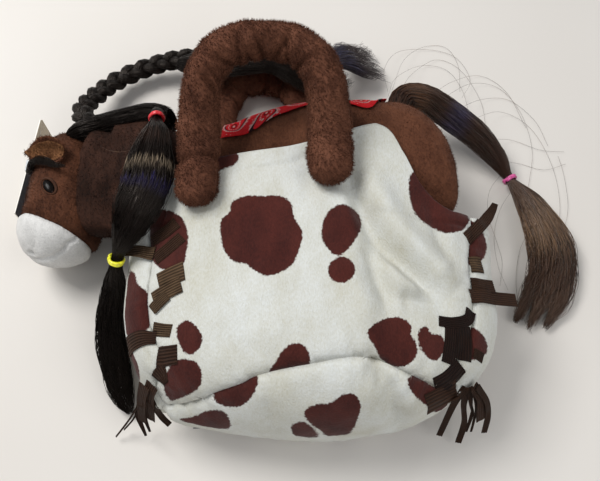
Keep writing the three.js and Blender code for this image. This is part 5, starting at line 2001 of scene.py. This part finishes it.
def make_rubber(name, dark, light):
    material, tree, shader, at = start_material(
        name, Roughness=0.3, Coat_Weight=0.35, Coat_Roughness=0.2,
        Subsurface_Weight=0.1, Subsurface_Radius=(0.002, 0.001, 0.001))
    bloom = noise_of(tree, at, 420.0, 3.0)
    feed(tree, shader, mixed(tree, ranged(tree, bloom, 0.35, 0.65), dark, light),
         ranged(tree, bloom, 0.3, 0.7, 0.22, 0.42), bloom, 0.0002)
    return material


def elastic(name, material, slot, node_name, direction, radius=4.4, thickness=0.9, wraps=3):
    """A coil round a lock that runs in this direction."""
    low, high = box_mm(node_name)
    middle = np.array((low + high) / 2)
    axis = unit(np.array(direction, float))
    across = unit(np.cross(axis, (0.3, 0.2, 1.0)))
    upward = np.cross(axis, across)
    turn = np.linspace(0, 2 * np.pi * wraps, 44 * wraps)
    share = turn / turn[-1]
    shift = (share - 0.5) * 2.2 + 0.4 * np.sin(turn * 0.5)
    size = radius + 0.35 * np.sin(turn * 1.5 + 1)
    path = (middle + np.outer(shift, axis) + (size * np.cos(turn))[:, None] * across
            + (size * np.sin(turn))[:, None] * upward)
    path[:, 2] = np.maximum(path[:, 2], thickness + 0.3)
    ends = rounded_ends(path, 1.5)
    band = tube(name, path, thickness * ends, thickness * ends, 12, up=axis)
    dress(band, material, "horse", slot, node_name)
    print(name, "runs", round(run_of(path)[-1]), "mm")


elastic("red_band_elastic", make_rubber("red_rubber", rgb(190, 14, 28), rgb(238, 52, 60)),
        "red_elastic", "red_band", (1, -12, 4))
elastic("yellow_band_elastic", make_rubber("yellow_rubber", rgb(206, 200, 10), rgb(248, 244, 60)),
        "yellow_elastic", "yellow_band", (-5, -9, -14))
elastic("pink_band_elastic", make_rubber("pink_rubber", rgb(170, 40, 110), rgb(226, 100, 164)),
        "pink_elastic", "pink_band", (11, -22, -0.5))
elastic("braid_band_elastic", make_rubber("dark_rubber", rgb(12, 10, 12), rgb(34, 28, 32)),
        "dark_elastic", "braid_band", (20, 0, -2))

# %% [markdown]
# ## The card tag and its plastic pin
# The tag is a small card on edge beside the face. Its front is cream above and painted shadow
# below, with the dark horse's reflection in it.
# A clear plastic pin goes through its hole into the head.

# %% Card
card, card_tree, card_shader, card_at = start_material("card", Specular_IOR_Level=0.4, Coat_Weight=0.1)
card_parts = node(card_tree, "SeparateXYZ", {"Vector": card_at})
fibres = noise_of(card_tree, card_at, 700.0, 4.0)
card_tone = ranged(card_tree, fibres, 0.3, 0.7)
paper = mixed(card_tree, card_tone, rgb(206, 188, 160), rgb(228, 214, 188))
# Painted shadow, with the dark horse's reflection, for the card's lower part.
card_shadow_tone = mixed(card_tree, card_tone, rgb(38, 36, 52), rgb(58, 56, 76))
tag_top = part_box("tag_card")[1].y
card_shadow_share = ranged(card_tree, card_parts.outputs["Y"], tag_top - 23.5 * MM, tag_top - 22.5 * MM, 1.0, 0.0)
feed(card_tree, card_shader, mixed(card_tree, card_shadow_share, paper, card_shadow_tone),
     ranged(card_tree, fibres, 0.3, 0.7, 0.45, 0.65), fibres, 0.00005)
card_edge, edge_tree, edge_shader, edge_at = start_material("card_edge", Specular_IOR_Level=0.4)
edge_tone = ranged(edge_tree, noise_of(edge_tree, edge_at, 900.0), 0.3, 0.7)
feed(edge_tree, edge_shader, mixed(edge_tree, edge_tone, rgb(232, 226, 212), rgb(250, 246, 238)),
     None, noise_of(edge_tree, edge_at, 1200.0), 0.0001)
print("the card's top is at", round(tag_top / MM), "mm")

# %% Tag
tag_pivot = np.array([-205, 104, 16])  # the card bends and turns about this point
tag = solid_copy("tag_card_print", "tag_card")
finish_with(tag, "BEVEL", width=0.25 * MM, segments=2, limit_method="ANGLE")
pick(tag)
bpy.ops.object.shade_flat()
points = points_of(tag) - tag_pivot
bend = math.radians(4)  # the card hangs a little straighter than its solid
points = np.stack([points[:, 0] * math.cos(bend) - points[:, 1] * math.sin(bend),
                   (points[:, 0] * math.sin(bend) + points[:, 1] * math.cos(bend)) * 1.06,
                   points[:, 2]], 1)
points[:, 0] += 0.0006 * points[:, 1] ** 2
place_points(tag, points + tag_pivot + [1.5, 1, 1])
dress(tag, card, "hang_tag", "card", "tag_card")
tag.data.materials.append(card_edge)
for face in tag.data.polygons:
    face.material_index = 0 if face.normal.x > 0.8 else 1
print("tag", size_of(tag))

# %% Plastic pin
clear_plastic = mottled("clear_plastic", rgb(196, 206, 214), rgb(236, 242, 246), 500.0,
                        (0.1, 0.25), 800.0, Roughness=0.15, Coat_Weight=0.5, IOR=1.49, Alpha=0.6)
pin = solid_copy("tag_fastener_plastic", "tag_fastener")
finish_with(pin, "BEVEL", width=0.15 * MM, segments=2, limit_method="ANGLE")
dress(pin, clear_plastic, "horse", "clear_plastic", "tag_fastener")
print("pin", size_of(pin))

# %% [markdown]
# ## Stray hairs
# Doll hair sheds. Single hairs have slipped out of the tail and lie in loops on the table, and a
# few stand out of the mane and the ponytail.

# %% Stray hairs


def stray(name, routes, thickness, material, slot):
    """Single hairs through picture points (column, row, height), as one mesh."""
    lines = np.array([smooth_line([model_of(point, point[2]) for point in route], 60)
                      for route in routes])
    piece = strand_piece(name, lines, np.full(lines.shape[:2], thickness))
    dress(piece, material, "horse", slot)


stray("tail_stray_hair", [
    [(388, 92, 40), (384, 70, 16), (398, 52, 4), (430, 50, 1), (456, 58, 1), (470, 80, 1), (462, 98, 10)],
    [(388, 96, 42), (396, 78, 14), (420, 66, 3), (446, 70, 1), (462, 90, 2), (470, 118, 8)],
    [(440, 100, 30), (470, 84, 6), (498, 88, 1), (520, 112, 1), (532, 150, 1), (528, 190, 1)],
    [(470, 120, 24), (500, 112, 4), (530, 128, 1), (552, 166, 1), (560, 210, 1), (552, 250, 1)],
    [(505, 170, 12), (490, 190, 4), (488, 214, 1), (496, 240, 1), (502, 262, 1), (500, 286, 1)],
    [(512, 190, 10), (500, 210, 2), (494, 236, 1), (498, 266, 1), (508, 290, 1)],
    [(540, 250, 6), (558, 262, 1), (567, 282, 1), (562, 306, 1), (556, 322, 1)],
    [(530, 230, 6), (520, 250, 1), (516, 280, 1), (520, 310, 1), (532, 334, 1)],
    [(560, 240, 4), (564, 230, 1), (568, 206, 1), (564, 176, 1), (558, 156, 1)],
    [(392, 90, 44), (404, 60, 10), (424, 47, 1), (446, 48, 1), (458, 66, 1), (460, 92, 6)],
    [(400, 92, 44), (412, 74, 10), (436, 60, 1), (460, 70, 1), (480, 100, 1), (486, 128, 2)],
    [(430, 96, 34), (452, 82, 8), (480, 76, 1), (506, 92, 1), (526, 128, 1)],
    [(452, 112, 26), (480, 100, 4), (508, 100, 1), (534, 120, 1), (548, 146, 1)],
    [(480, 140, 16), (510, 140, 2), (540, 150, 1), (564, 152, 1)],
    [(496, 160, 12), (520, 164, 1), (544, 170, 1), (566, 164, 1)],
], 0.1, tail_hair, "brown_hair")
stray("mane_stray_hair", [
    [(134, 176, 92), (127, 184, 90), (125, 194, 88), (130, 200, 90)],
    [(150, 158, 93), (140, 160, 92), (128, 164, 88), (120, 170, 80)],
    [(132, 150, 88), (120, 152, 80), (108, 150, 72), (100, 146, 66)],
    [(168, 150, 92), (172, 160, 92), (171, 172, 90), (166, 182, 90)],
], 0.12, tail_hair, "brown_hair")
print("stray hairs in place")

# %% [markdown]
# ## Pile on the horse
# Short spikes stand out of the torso, the neck and the face. They come last, so that nothing
# above was laid on to their tips.

# %% Pile on the horse
for piece_name, count, length, seed in (
        ("torso_plush", 11000, 1.6, 75), ("shaded_neck_plush", 8000, 1.7, 76), ("face_plush", 8000, 1.7, 77)):
    add_pile(bpy.data.objects[piece_name], count, length, seed, thickness=0.22)
    print(piece_name, "has", count, "spikes")
